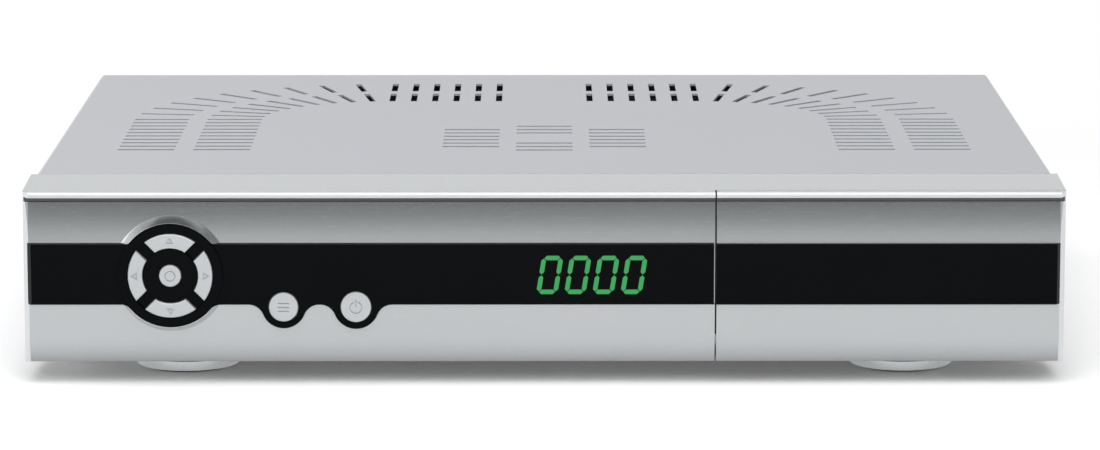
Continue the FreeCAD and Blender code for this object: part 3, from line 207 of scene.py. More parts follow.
# silver lacquer: fine streaks along the width, flakes, and faint clouds
def metallicLacquer(name, colour, metal, rough, streaks, flake=0.22, paintedLight=False):
    paint = Paint(name)
    streak = paint.noise(0.12 * mm, 3.0, (0.02, 1, 1))
    fleck = paint.noise(flake * mm, 1.0)
    cloud = paint.noise(45 * mm)
    grain = streak * streaks + fleck * (1 - streaks)
    clouded = paint.blend(cloud, shade(colour, 0.98), shade(colour, 1.02))
    tone = paint.blend(grain, clouded, shade(colour, 1.05))
    # the front also gets its painted light and shade
    if paintedLight:
        tone = paintFrontLight(paint, tone, colour)
    paint.set(Base_Color=tone, Metallic=metal, Roughness=grain * 0.08 + (rough - 0.04))
    return paint.bump(grain, 0.0012 * mm).material


# deep black gloss with a trace of haze and dust
def glossBlack(name, colour=(0.0008, 0.0012, 0.0015), rough=0.06):
    paint = Paint(name)
    haze = paint.noise(22 * mm, 3.0)
    dust = paint.noise(0.5 * mm, 1.0) > 0.74
    paint.set(Base_Color=paint.blend(haze, shade(colour, 0.8), shade(colour, 1.3)),
              Roughness=haze * 0.05 + rough + dust * 0.05, Specular_IOR_Level=0.06)
    return paint.material


def mouldedPlastic(name, colour, rough=0.5, grainSize=0.35):
    paint = Paint(name)
    grain = paint.noise(grainSize * mm)
    cloud = paint.noise(12 * mm)
    paint.set(Base_Color=paint.blend(cloud, shade(colour, 0.85), shade(colour, 1.2)),
              Roughness=grain * 0.2 + (rough - 0.1))
    return paint.bump(grain, 0.02 * mm).material


# galvanised sheet with its spangle
def zincSteel(name, colour=(0.56, 0.57, 0.58), rough=0.36):
    paint = Paint(name)
    spangle = paint.node("ShaderNodeTexVoronoi", {"feature": "F1"},
                         Vector=paint.places((140, 140, 140)), Scale=1.0, out=1)
    tint = paint.node("ShaderNodeSeparateColor", {}, spangle)
    wear = paint.noise(9 * mm, 3.0)
    tone = paint.blend(wear, shade(colour, 0.85), shade(colour, 1.1))
    paint.set(Base_Color=paint.blend(tint * 0.5, tone, shade(colour, 1.25)), Metallic=1.0,
              Roughness=wear * 0.16 + tint * 0.1 + (rough - 0.13))
    return paint.bump(wear, 0.02 * mm).material


def platedMetal(name, colour, rough=0.18):
    paint = Paint(name)
    wear = paint.noise(1.2 * mm, 3.0)
    paint.set(Base_Color=paint.blend(wear, shade(colour, 0.9), shade(colour, 1.08)), Metallic=1.0,
              Roughness=wear * 0.14 + (rough - 0.05))
    return paint.bump(wear, 0.006 * mm).material


def rawAluminium(name, colour=(0.62, 0.63, 0.64)):
    paint = Paint(name)
    draw = paint.noise(0.3 * mm, 3.0, (1, 0.02, 1))
    paint.set(Base_Color=paint.blend(draw, shade(colour, 0.82), shade(colour, 1.1)), Metallic=1.0,
              Roughness=draw * 0.25 + 0.22)
    return paint.bump(draw, 0.01 * mm).material


# green solder mask over copper tracks, with tinned pads
def boardLaminate(name, colour=(0.012, 0.075, 0.028)):
    paint = Paint(name)
    tracks = paint.node("ShaderNodeTexBrick", {"offset": 0.37, "squash": 0.6},
                        Vector=paint.places(), Scale=90.0, Mortar_Size=0.012, Row_Height=0.12,
                        Brick_Width=1.7, out=1)
    pads = paint.node("ShaderNodeTexVoronoi", {"feature": "F1"},
                      Vector=paint.places((260, 260, 260)), Scale=1.0)
    solder = pads < 0.16
    mask = paint.blend(tracks, shade(colour, 1.9), shade(colour, 1.0))
    paint.set(Base_Color=paint.blend(solder, mask, (0.45, 0.43, 0.36, 1)), Metallic=solder * 0.8,
              Roughness=0.34 - solder * 0.08)
    return paint.bump(tracks * 0.5 + solder, 0.03 * mm).material


def rubber(name, colour=(0.018, 0.018, 0.019)):
    paint = Paint(name)
    grain = paint.noise(0.5 * mm, 3.0)
    paint.set(Base_Color=paint.blend(grain, shade(colour, 0.7), shade(colour, 1.6)),
              Roughness=grain * 0.2 + 0.68)
    return paint.bump(grain, 0.05 * mm).material


def woundBobbin(name, colour=(0.62, 0.42, 0.06)):
    paint = Paint(name)
    wraps = paint.node("ShaderNodeTexWave", {"wave_type": "BANDS", "bands_direction": "Z"},
                       Vector=paint.places(), Scale=380.0, Distortion=0.4, out=1)
    paint.set(Base_Color=paint.blend(wraps, shade(colour, 0.55), shade(colour, 1.2)),
              Roughness=0.4 - wraps * 0.1)
    return paint.bump(wraps, 0.05 * mm).material


def litGreen(name, colour=(0.0215, 0.29, 0.069)):
    paint = Paint(name)
    glow = paint.noise(2.2 * mm, 1.0)
    paint.set(Base_Color=(0.0, 0.05, 0.01, 1), Roughness=0.35, Emission_Strength=1.0,
              Emission_Color=paint.blend(glow, shade(colour, 0.9), shade(colour, 1.1)))
    return paint.material


# one finish for each material slot of the record
finishes = {
    # the front's lacquer carries painted light and shade
    "front_silver": metallicLacquer("frontSilver", (0.523, 0.543, 0.553), 0.85, 0.26, 0.3, paintedLight=True),
    "cover_silver": metallicLacquer("coverSilver", (0.424, 0.435, 0.465), 0.35, 0.42, 0.1, 0.35),
    "band_black": glossBlack("bandBlack"),
    "key_silver": metallicLacquer("keySilver", (0.47, 0.49, 0.502), 0.4, 0.38, 0.2, 0.3),
    "plain_steel": zincSteel("plainSteel"),
    "bright_nickel": platedMetal("brightNickel", (0.66, 0.64, 0.58)),
    "bare_aluminium": rawAluminium("bareAluminium"),
    "dark_plastic": mouldedPlastic("darkPlastic", (0.016, 0.016, 0.018)),
    "white_plastic": mouldedPlastic("whitePlastic", (0.72, 0.71, 0.66), 0.45),
    "board_laminate": boardLaminate("boardLaminate"),
    "wound_bobbin": woundBobbin("woundBobbin"),
    "foot_rubber": rubber("footRubber"),
    "foot_silver": metallicLacquer("footSilver", (0.66, 0.682, 0.694), 0.9, 0.26, 0.0, 0.4),
    "digit_green": litGreen("digitGreen"),
}


def dress(piece, finish):
    piece.data.materials.clear()
    piece.data.materials.append(finish)


for node, cadObject in nodes.items():
    dress(cadObject, finishes[slotOf[node]])
print("finishes on", len(nodes), "nodes")


# steps that many shapes share
def shift(shape, move):
    bmesh.ops.translate(shape, vec=move, verts=shape.verts)


def swing(shape, degrees, axis, centre=(0, 0, 0)):
    turn = Matrix.Rotation(math.radians(degrees), 3, axis)
    bmesh.ops.rotate(shape, cent=centre, matrix=turn, verts=shape.verts)


def everything(shape):
    return shape.verts[:] + shape.edges[:] + shape.faces[:]


# cuts away what lies beyond a plane
def trim(shape, place, normal):
    bmesh.ops.bisect_plane(shape, geom=everything(shape), dist=0.0001, plane_co=place,
                           plane_no=normal, clear_outer=True)


# pulls the faces along, and makes the walls behind them
def grow(shape, move):
    grown = bmesh.ops.extrude_face_region(shape, geom=shape.faces[:])["geom"]
    moved = [item for item in grown if isinstance(item, bmesh.types.BMVert)]
    bmesh.ops.translate(shape, vec=move, verts=moved)


# shapes are worked out in millimetres: across, behind the lip, over the moulding's underside
def addPiece(name, shape, body, slot, finish=None, sharp=38):
    bmesh.ops.scale(shape, vec=(mm, mm, mm), verts=shape.verts)
    shift(shape, (0, lipY, baseZ))
    mesh = bpy.data.meshes.new(name)
    shape.to_mesh(mesh)
    shape.free()
    mesh.shade_smooth()
    mesh.set_sharp_from_angle(angle=math.radians(sharp))
    piece = bpy.data.objects.new(name, mesh)
    bpy.context.scene.collection.objects.link(piece)
    piece.modifiers.new("flatFaces", "WEIGHTED_NORMAL").keep_sharp = True
    dress(piece, finish or finishes[slot])
    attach(piece, body)
    return piece


# chain of edges through points
def drawRun(shape, points):
    pen = bmesh.ops.create_vert(shape, co=points[0])["vert"][0]
    for point in points[1:]:
        grown = bmesh.ops.extrude_vert_indiv(shape, verts=[pen])["verts"][0]
        bmesh.ops.translate(shape, vec=Vector(point) - pen.co, verts=[grown])
        pen = grown


# upright face whose outline goes clockwise, as seen from the front, through corners (x, z)
# and arcs (middle x, middle z, degrees, steps)
def drawOutline(shape, moves, depth):
    pen = bmesh.ops.create_vert(shape, co=(moves[0][0], depth, moves[0][1]))["vert"][0]
    for move in moves[1:]:
        if len(move) == 2:
            grown = bmesh.ops.extrude_vert_indiv(shape, verts=[pen])["verts"][0]
            bmesh.ops.translate(shape, vec=Vector((move[0], depth, move[1])) - pen.co, verts=[grown])
            pen = grown
        else:
            x, z, degrees, steps = move
            turned = bmesh.ops.spin(shape, geom=[pen], cent=(x, depth, z), axis=(0, 1, 0),
                                    angle=math.radians(degrees), steps=steps)
            pen = [item for item in turned["geom_last"] if isinstance(item, bmesh.types.BMVert)][0]
    bmesh.ops.remove_doubles(shape, verts=shape.verts, dist=0.001)
    bmesh.ops.contextual_create(shape, geom=shape.edges[:])


# gives a flat face its thickness towards the rear
def thicken(shape, depth):
    grow(shape, (0, depth, 0))
    tidy(shape)


# welds what meets, closes holes and turns the faces outwards
def tidy(shape):
    bmesh.ops.remove_doubles(shape, verts=shape.verts, dist=0.004)
    bmesh.ops.holes_fill(shape, edges=shape.edges[:], sides=0)
    bmesh.ops.recalc_face_normals(shape, faces=shape.faces[:])


# rounds the edges that a test picks
def roundEdges(shape, width, segments, test):
    picked = [edge for edge in shape.edges if len(edge.link_faces) == 2 and edge.calc_face_angle() > 0.6
              and test(*(vert.co for vert in edge.verts))]
    bmesh.ops.bevel(shape, geom=picked, offset=width, segments=segments, profile=0.5, affect="EDGES",
                    material=-1)


# solid turned round an axis that runs front to back; its section goes through (radius, depth)
def lathe(section, x=0.0, z=0.0, steps=48):
    shape = bmesh.new()
    drawRun(shape, [(x + radius, depth, z) for radius, depth in section])
    bmesh.ops.spin(shape, geom=shape.verts[:] + shape.edges[:], cent=(x, 0, z), axis=(0, 1, 0),
                   angle=math.tau, steps=steps, use_merge=True)
    tidy(shape)
    return shape


def block(x0, x1, y0, y1, z0, z1):
    shape = bmesh.new()
    bmesh.ops.create_cube(shape, size=1.0)
    bmesh.ops.scale(shape, vec=(x1 - x0, y1 - y0, z1 - z0), verts=shape.verts)
    shift(shape, ((x0 + x1) / 2, (y0 + y1) / 2, (z0 + z1) / 2))
    return shape


# a shape held as an object for a while, so that a modifier can use it
def hold(shape):
    mesh = bpy.data.meshes.new("held")
    shape.to_mesh(mesh)
    shape.free()
    held = bpy.data.objects.new("held", mesh)
    bpy.context.scene.collection.objects.link(held)
    return held


# joins a shape with others, cuts them out of it, or keeps what they share
def combine(shape, others, operation):
    base = hold(shape)
    tools = [hold(other) for other in others]
    for tool in tools:
        modifier = base.modifiers.new("combine", "BOOLEAN")
        modifier.operation = operation
        modifier.solver = "EXACT"
        modifier.object = tool
    bpy.context.view_layer.update()
    result = bmesh.new()
    result.from_object(base, bpy.context.evaluated_depsgraph_get())
    for held in [base] + tools:
        mesh = held.data
        bpy.data.objects.remove(held)
        bpy.data.meshes.remove(mesh)
    bmesh.ops.remove_doubles(result, verts=result.verts, dist=0.0005)
    bmesh.ops.dissolve_degenerate(result, dist=0.0005, edges=result.edges[:])
    return result


# shapes put together in one mesh, each closed in itself
def gather(shapes):
    whole = bmesh.new()
    for shape in shapes:
        mesh = bpy.data.meshes.new("part")
        shape.to_mesh(mesh)
        shape.free()
        whole.from_mesh(mesh)
        bpy.data.meshes.remove(mesh)
    return whole


# where the flats of the front's two corners lie, and how steeply
cornerFlats = {"x": 170.0, "depth": 3.29, "degrees": 60.0}


# cuts the flat of the left (-1) or right (1) corner
def cutCorner(shape, side):
    turn = math.radians(cornerFlats["degrees"])
    trim(shape, (side * cornerFlats["x"], cornerFlats["depth"], 0),
         Vector((side * math.sin(turn), -math.cos(turn), 0)))


# navigation pad
pad = {
    "x": -121.7, "z": 29.6, "radius": 17.0,
    "front": -3.4,                # its disc's front
    "sink": 1.1,                  # the cross lies this deep
    "arcOuter": 13.75, "arcInner": 9.1,
    "arm": 4.0,                   # width of the cross's arms
    "play": 0.25,                 # round each key
    "spare": 0.08,                # the keys' holes stay clear of the cross's ring by this
    "rim": 0.55, "ringEdge": 0.16,    # rounding of its edge and of the cross's ring
    "steps": 96, "holeSteps": 64, "arcSteps": 24,
}
# black band
band = {
    "left": -170.0, "right": 55.3, "low": 19.6, "high": 39.7,
    "front": -1.8, "back": 0.7,
    "edge": 0.35,                 # rounding of its front edges
    "lobe": 2.4, "lobeRound": 5.2, "padRound": 2.0,
}
# keys, their stems and their signs
keys = {
    "proud": 1.0,                 # in front of the black face round them
    "crown": 0.14,                # how far the caps swell
    "edge": 0.42,                 # rounding of the caps
    "shortest": 0.6,              # length of an arc's last chord
    "flangeFront": 3.6, "flangeBack": 4.8, "flangeReach": 1.1,
    "stem": 2.6, "stemEnd": 6.8,
    "capSunk": 0.4, "stemSunk": 0.6,    # how far a cap and a stem run into the flange
    "sign": 0.4, "line": 0.36,    # depth and width of the signs' grooves
    "over": 0.5,                  # their cutters start this far in front
    "triangle": 1.45,
    "ring": 1.6,
    "bars": (3.6, 1.3),           # length and pitch
    "power": {"ring": 1.9, "gap": (1.5, 0.4, 3.2), "bar": (1.5, 2.4)},
    "profile": ((0, 0), (0.35, 0.15), (0.7, 0.5)),    # a round cap's swell, by radius
}
# direction of each arc key
arcKeys = {"right_key": 0, "up_key": 90, "left_key": 180, "down_key": 270}
# across, up, radius and the face that it stands proud of
roundKeys = {"ok_key": (-121.7, 29.6, 3.6, -3.4), "menu_key": (-85.0, 18.95, 4.8, -1.8),
             "power_key": (-61.4, 18.95, 5.0, -1.8)}


# the band's edge swings round a lobe: a run to it, a hollow round, the lobe and a hollow round
def lobeMoves(x, z, radius, hollow, level, rise):
    middle = level + rise * hollow
    drop = abs(middle - z)
    reach = math.sqrt((radius + hollow) ** 2 - drop ** 2)
    turn = math.degrees(math.acos(drop / (radius + hollow)))
    return [(x - rise * reach, level), (x - rise * reach, middle, -turn, 10), (x, z, 2 * turn, 44),
            (x + rise * reach, middle, -turn, 10)]


# the part of a ring between two arms of the cross, towards an angle
def ringPart(inner, outer, front, back, arm, degrees):
    shape = bmesh.new()
    drawRun(shape, [(inner, front, 0), (outer, front, 0), (outer, back, 0), (inner, back, 0),
                    (inner, front, 0)])
    bmesh.ops.remove_doubles(shape, verts=shape.verts, dist=0.001)
    swing(shape, -45, "Y")
    bmesh.ops.spin(shape, geom=everything(shape), cent=(0, 0, 0), axis=(0, 1, 0),
                   angle=math.radians(90), steps=pad["arcSteps"])
    tidy(shape)
    normals = [Vector((-1, 0, side)).normalized() for side in (-1, 1)]
    for normal in normals:
        trim(shape, normal * -arm / 2, normal)
        tidy(shape)
    bmesh.ops.dissolve_limit(shape, angle_limit=math.radians(0.5), verts=shape.verts, edges=shape.edges)
    near = {}                         # arc points too close to a corner for its edges to be rounded
    for edge in shape.edges:
        ends = [any(abs(vert.co.dot(normal) + arm / 2) < 0.001 for normal in normals)
                for vert in edge.verts]
        if edge.calc_length() < keys["shortest"] and ends[0] != ends[1]:
            near[edge.verts[ends[0]]] = edge.verts[ends[1]]
    bmesh.ops.weld_verts(shape, targetmap=near)
    bmesh.ops.recalc_face_normals(shape, faces=shape.faces[:])
    swing(shape, -degrees, "Y")
    shift(shape, (pad["x"], 0, pad["z"]))
    return shape


def keyCutters(front, back):
    play, reach = pad["play"], pad["play"] - pad["spare"]
    cutters = [ringPart(pad["arcInner"] - reach, pad["arcOuter"] + reach, front, back,
                        pad["arm"] - 2 * play, angle) for angle in arcKeys.values()]
    cutters += [lathe([(0, front), (radius + play, front), (radius + play, back), (0, back)],
                      x, z, pad["holeSteps"]) for x, z, radius, face in roundKeys.values()]
    return cutters


def buildLens():
    front, back, low, high = band["front"], band["back"], band["low"], band["high"]
    moves = [(band["left"], low), (band["left"], high)]
    moves += lobeMoves(pad["x"], pad["z"], pad["radius"], band["padRound"], high, 1)
    moves += [(band["right"], high), (band["right"], low)]
    for key in ("power_key", "menu_key"):
        x, z, radius, face = roundKeys[key]
        moves += lobeMoves(x, z, radius + band["lobe"], band["lobeRound"], low, -1)
    moves += lobeMoves(pad["x"], pad["z"], pad["radius"], band["padRound"], low, -1)
    shape = bmesh.new()
    drawOutline(shape, moves, front)
    thicken(shape, back - front)
    cutCorner(shape, -1)
    tidy(shape)
    roundEdges(shape, band["edge"], 3, lambda first, last: max(first.y, last.y) < front + 0.01)

    face, floor = pad["front"], pad["front"] + pad["sink"]
    ringIn, ringOut = pad["arcInner"] - pad["play"], pad["arcOuter"] + pad["play"]
    disc = lathe([(0, face), (ringIn, face), (ringIn, floor), (ringOut, floor), (ringOut, face),
                  (pad["radius"], face), (pad["radius"], back), (0, back)],
                 pad["x"], pad["z"], pad["steps"])
    roundEdges(disc, pad["rim"], 5, lambda first, last: max(first.y, last.y) < face + 0.01
               and abs(math.hypot(first.x - pad["x"], first.z - pad["z"]) - pad["radius"]) < 0.01)
    roundEdges(disc, pad["ringEdge"], 2, lambda first, last: max(first.y, last.y) < face + 0.01
               and math.hypot(first.x - pad["x"], first.z - pad["z"]) < ringOut + 0.01)
    # half a step round, so that its corners lie between those of the cutters
    swing(disc, 180 / pad["steps"], "Y", (pad["x"], 0, pad["z"]))
    shape = combine(shape, [disc], "UNION")
    shape = combine(shape, keyCutters(face - 1, back + 1), "DIFFERENCE")
    # the cut leaves slits in a hole's wall
    slits = [edge for edge in shape.edges if len(edge.link_faces) == 1]
    bmesh.ops.holes_fill(shape, edges=slits, sides=4)
    piece = addPiece("blackLens", shape, "case", "band_black", sharp=30)
    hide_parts("window_lens")


# cutters for the signs sunk into the keys
def triangleSign(x, z, front, degrees):
    shape = bmesh.new()
    bmesh.ops.create_circle(shape, cap_ends=True, segments=3, radius=keys["triangle"])
    bmesh.ops.inset_individual(shape, faces=shape.faces[:], thickness=keys["line"],
                               use_even_offset=True)
    inner = [face for face in shape.faces if len(face.verts) == 3]
    bmesh.ops.delete(shape, geom=inner, context="FACES")
    swing(shape, 90, "X")
    tip = max(shape.verts, key=lambda vert: vert.co.length)
    swing(shape, math.degrees(math.atan2(tip.co.z, tip.co.x)) - degrees, "Y")
    shift(shape, (x, front - keys["over"], z))
    grow(shape, (0, keys["over"] + keys["sign"], 0))
    bmesh.ops.recalc_face_normals(shape, faces=shape.faces[:])
    return shape


def ringSign(x, z, front, radius):
    half, start, end = keys["line"] / 2, front - keys["over"], front + keys["sign"]
    return lathe([(radius - half, start), (radius + half, start), (radius + half, end),
                  (radius - half, end), (radius - half, start)], x, z, 40)


def barSign(x, z, front, width, height):
    return block(x - width / 2, x + width / 2, front - keys["over"], front + keys["sign"],
                 z - height / 2, z + height / 2)


# ring with a gap at its top, and a bar in the gap
def powerSign(x, z, front):
    power = keys["power"]
    width, low, high = power["gap"]
    rise, length = power["bar"]
    gap = block(x - width / 2, x + width / 2, front - 1, front + 2, z + low, z + high)
    return [combine(ringSign(x, z, front, power["ring"]), [gap], "DIFFERENCE"),
            barSign(x, z + rise, front, keys["line"], length)]


def finishKey(node, cap, hidden, signs):
    shape = combine(cap, hidden, "UNION")
    shape = combine(shape, signs, "DIFFERENCE")
    piece = addPiece(node.replace("_key", "Key"), shape, node, "key_silver")
    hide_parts(node)


def keyStem(x, z):
    half = keys["stem"] / 2
    return block(x - half, x + half, keys["flangeBack"] - keys["stemSunk"], keys["stemEnd"],
                 z - half, z + half)


def buildArcKey(node, degrees):
    front = pad["front"] - keys["proud"]
    cap = ringPart(pad["arcInner"], pad["arcOuter"], front, keys["flangeBack"] - keys["capSunk"],
                   pad["arm"], degrees)
    roundEdges(cap, keys["edge"], 4, lambda first, last: max(first.y, last.y) < front + 0.01)
    reach = keys["flangeReach"]
    flange = ringPart(pad["arcInner"] - reach, pad["arcOuter"] + reach, keys["flangeFront"],
                      keys["flangeBack"], pad["arm"] - 2 * reach, degrees)
    middle = (pad["arcInner"] + pad["arcOuter"]) / 2
    x = pad["x"] + middle * math.cos(math.radians(degrees))
    z = pad["z"] + middle * math.sin(math.radians(degrees))
    finishKey(node, cap, [flange, keyStem(x, z)], [triangleSign(x, z, front, degrees)])


def buildRoundKey(node, x, z, radius, face):
    front = face - keys["proud"]
    crown, edge = keys["crown"], keys["edge"]
    section = [(radius * share, front + crown * swell) for share, swell in keys["profile"]]
    section += [(radius - edge, front + crown), (radius - edge * 0.4, front + crown + edge * 0.25),
                (radius, front + crown + edge), (radius, keys["flangeFront"]),
                (radius + keys["flangeReach"], keys["flangeFront"]),
                (radius + keys["flangeReach"], keys["flangeBack"]), (0, keys["flangeBack"])]
    cap = lathe(section, x, z, 56)
    face = front + crown * 0.5
    if node == "ok_key":
        signs = [ringSign(x, z, face, keys["ring"])]
    elif node == "menu_key":
        length, pitch = keys["bars"]
        signs = [barSign(x, z + rise, face, length, keys["line"]) for rise in (-pitch, 0, pitch)]
    else:
        signs = powerSign(x, z, face)
    finishKey(node, cap, [keyStem(x, z)], signs)


buildLens()
for node, degrees in arcKeys.items():
    buildArcKey(node, degrees)
for node, (x, z, radius, face) in roundKeys.items():
    buildRoundKey(node, x, z, radius, face)
print("black lens and seven keys")


# feet
feet = {
    "neck": 13.5, "ring": 17.2,
    "seat": 0.6, "ringTop": -2.9, "low": -6.7,
    "edge": 0.8,
    "recess": 14.6, "recessDepth": 0.25,      # where the rubber disc lies
    "rubber": 14.2,
}
# screws of the cover and the rear panel
screws = {
    "head": 2.9, "height": 1.15, "shank": 1.45, "length": 4.0, "tip": 0.8,
    "profile": ((0, 1), (0.45, 0.97), (0.8, 0.74), (0.96, 0.4), (1, 0.15), (1, 0)),
    "slot": 0.75, "cross": 3.4, "sink": 0.75,
    "sideY": (70.0, 215.0), "sideZ": 8.0, "sideX": 168.55,
    "rearX": (-160.0, -50.0, 50.0, 160.0), "rearZ": 4.2, "rearY": 269.8,
    "turn": 17,                   # each rear screw ends at its own angle, this many times its place
}


# a rubber disc lies in the middle of each foot
def footPlaces():
    low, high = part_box("foot_pads")
    reach = feet["rubber"] * mm
    return [(x / mm, (y - lipY) / mm) for x in (low.x + reach, high.x - reach)
            for y in (low.y + reach, high.y - reach)]


def buildFeet():
    neck, ring, top, low = feet["neck"], feet["ring"], feet["ringTop"], feet["low"]
    seat, recess, depth = feet["seat"], feet["recess"], feet["recessDepth"]
    made = []
    for x, y in footPlaces():
        # the section is turned round an upright axis, so its depths are heights upside down
        shape = lathe([(0, -seat), (neck, -seat), (neck, -top), (ring, -top), (ring, -low),
                       (recess, -low), (recess, -low - depth), (0, -low - depth)], 0, 0, 72)
        roundEdges(shape, feet["edge"], 4, lambda first, last: min(
            math.hypot(first.x, first.z), math.hypot(last.x, last.z)) > ring - 0.01)
        swing(shape, -90, "X")
        shift(shape, (x, y, 0))
        made.append(shape)
    piece = addPiece("footRings", gather(made), "case", "foot_silver")
    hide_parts("foot_rings")


# pan-head screw with a cross recess, whose head looks along +Y from y = 0
def screw():
    head, height, shank, length = screws["head"], screws["height"], screws["shank"], screws["length"]
    section = [(head * share, height * rise) for share, rise in screws["profile"]]
    section += [(shank, 0), (shank, -length), (0, -length - screws["tip"])]
    shape = lathe(section, 0, 0, 28)
    half, cross, floor = screws["slot"] / 2, screws["cross"] / 2, height - screws["sink"]
    return combine(shape, [block(-half, half, floor, height + 1, -cross, cross),
                           block(-cross, cross, floor - 0.05, height + 1, -half, half)], "DIFFERENCE")


def buildScrews():
    made = []
    for side in (-1, 1):
        for y in screws["sideY"]:
            made.append((-90 * side, "Z", (side * screws["sideX"], y, screws["sideZ"])))
    for x in screws["rearX"]:
        made.append((screws["turn"] * x, "Y", (x, screws["rearY"], screws["rearZ"])))
    shapes = []
    for degrees, axis, place in made:
        shape = screw()
        swing(shape, degrees, axis)
        shift(shape, place)
        shapes.append(shape)
    addPiece("caseScrews", gather(shapes), "case", "plain_steel")


buildFeet()
buildScrews()
print("feet and screws")


# threaded aerial sockets
aerial = {
    "x": (150.0, 126.0), "z": (20.0, 37.0), "start": 268.7, "panel": 269.8, "end": 280.8,
    "core": 4.36, "ridge": 4.76, "pitch": 0.794, "thread": (272.6, 279.2),
    "stepsPerTurn": 32,
    "section": ((-1, 0.02), (0, 0.1), (1, 0.36), (1, 0.43), (0, 0.69), (-1, 0.77)),    # of the ridge
    "sunk": 0.12,                 # how far the ridge goes into the core
    "nut": 7.0, "nutHeight": 2.0, "nutShoulder": (0.72, 0.86),    # where a nut's chamfer starts
    "well": 2.9, "wellDepth": 4.9, "pin": 0.75,
}
# round picture and sound sockets
audio = {
    "x": -16.0, "pitch": 14.0, "face": 270.4, "end": 278.0, "sleeve": 4.15, "wall": 0.7,
    "hole": 1.65, "collar": 5.3, "collarHeight": 0.5, "z": (16.0, 31.0),
    "colours": {"audioYellow": (-1, (0.62, 0.42, 0.02)), "audioWhite": (0, (0.72, 0.71, 0.68)),
                "audioRed": (1, (0.45, 0.016, 0.014))},
}
# nine-pin socket
serial = {
    "x": 96.0, "z": 15.2, "width": 17.0, "height": 8.6, "wall": 0.6, "lean": 1.5, "corner": 1.8,
    "face": 270.4, "end": 275.0, "flange": (15.4, 267.7, 268.7), "low": 9.0, "high": 21.1,
    "body": (8.5, 10.0, 1.0),     # half its width, its depth and how much lower than the flange
    "rows": ((0.5, 5), (-0.5, 4)),    # place and pins of each row
    "pinPitch": 2.77, "rowPitch": 2.84, "pin": 0.5, "pinEnd": 274.3,
    "post": 2.75, "postX": 12.5, "postStart": 269.8, "postHole": 1.4,
}
# contacts of the network socket
network = {
    "x": 68.0, "sill": 12.0, "count": 8, "pitch": 1.02, "wire": 0.24, "thick": 0.1,
    "back": 257.8, "front": 268.4, "rise": 2.6,
}
# stroke and ring on the rocker
marks = {
    "x": -118.0, "axle": 267.2, "z": 21.0, "turn": -8.0, "away": 3.6, "thick": 0.12,
    "proud": 0.03,
    "stroke": (0.25, 1.3), "ring": (1.0, 1.4),    # half its width and height; inner and outer radius
    "middle": 3.4, "hollow": 17.0,    # the rocker's face over its axle, and its hollow's radius
}


# six-sided nut with a chamfer, and a blind hole if it is given one
def turnedNut(x, z, start, corner, height, hole=0):
    end = start + height
    rise, inset = aerial["nutShoulder"]
    prism = lathe([(0, start), (corner, start), (corner, end), (0, end)], x, z, 6)
    cone = lathe([(0, start - 1), (corner + 1, start - 1), (corner + 1, start + height * rise),
                  (corner * inset, end), (0, end)], x, z, 48)
    nut = combine(prism, [cone], "INTERSECT")
    if hole:
        drill = lathe([(0, start + 0.8), (hole, start + 0.8), (hole, end + 1), (0, end + 1)], x, z, 32)
        nut = combine(nut, [drill], "DIFFERENCE")
    return nut


# ridge that winds round a barrel, as a closed body sunk a little in the core
def threadRidge(x, z):
    core, ridge, pitch = aerial["core"], aerial["ridge"], aerial["pitch"]
    radii = {-1: core - aerial["sunk"], 0: core, 1: ridge}
    start, end = aerial["thread"]
    turns, steps = int((end - start) / pitch), aerial["stepsPerTurn"]
    shape = bmesh.new()
    drawRun(shape, [(x + radii[level], start + depth, z) for level, depth in aerial["section"]])
    bmesh.ops.contextual_create(shape, geom=shape.edges[:])
    bmesh.ops.spin(shape, geom=everything(shape), cent=(x, 0, z), axis=(0, 1, 0),
                   angle=math.tau * turns, steps=steps * turns, dvec=(0, pitch / steps, 0))
    bmesh.ops.recalc_face_normals(shape, faces=shape.faces[:])
    return shape


def buildAerials():
    core, well, pin = aerial["core"], aerial["well"], aerial["pin"]
    start, end = aerial["start"], aerial["end"]
    floor = end - aerial["wellDepth"]
    metal, inserts = [], []
    for x in aerial["x"]:
        for z in aerial["z"]:
            metal.append(lathe([(0, start), (core, start), (core, end - 0.5), (core - 0.4, end),
                                (well + 0.2, end), (well, end - 0.2), (well, floor), (0, floor)], x, z))
            metal.append(threadRidge(x, z))
            metal.append(turnedNut(x, z, aerial["panel"], aerial["nut"], aerial["nutHeight"]))
            inserts.append(lathe([(0, end - 4), (pin, end - 4), (pin, end - 0.9),
                                  (pin + 0.35, end - 0.5), (well - 0.05, end - 0.5),
                                  (well - 0.05, floor + 0.1), (0, floor + 0.1)], x, z))
    piece = addPiece("aerialSockets", gather(metal), "case", "bright_nickel")
    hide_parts("aerial_sockets")
    addPiece("aerialInserts", gather(inserts), "case", "white_plastic")


def buildAudio():
    face, end, sleeve, hole = audio["face"], audio["end"], audio["sleeve"], audio["hole"]
    inner, collar, top = sleeve - audio["wall"], audio["collar"], face + audio["collarHeight"]
    shells = []
    for name, (step, colour) in audio["colours"].items():
        inserts = []
        for z in audio["z"]:
            x = audio["x"] - step * audio["pitch"]
            shells.append(lathe([(inner, face + 0.2), (sleeve, face + 0.2), (sleeve, end - 0.35),
                                 (sleeve - 0.25, end), (inner + 0.1, end), (inner, end - 0.2),
                                 (inner, face + 0.2)], x, z))
            inserts.append(lathe([(0, face + 2), (hole, face + 2), (hole, end - 1.2),
                                  (hole + 0.3, end - 0.9), (inner - 0.03, end - 0.9),
                                  (inner - 0.03, top), (0, top)], x, z))
            inserts.append(lathe([(sleeve + 0.03, face), (collar, face), (collar, top - 0.15),
                                  (collar - 0.15, top), (sleeve + 0.03, top),
                                  (sleeve + 0.03, face)], x, z))
        addPiece(name, gather(inserts), "case", "white_plastic",
                 mouldedPlastic(name + "Plastic", colour, 0.4))
    piece = addPiece("audioSleeves", gather(shells), "case", "bright_nickel")
    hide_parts("audio_rings")


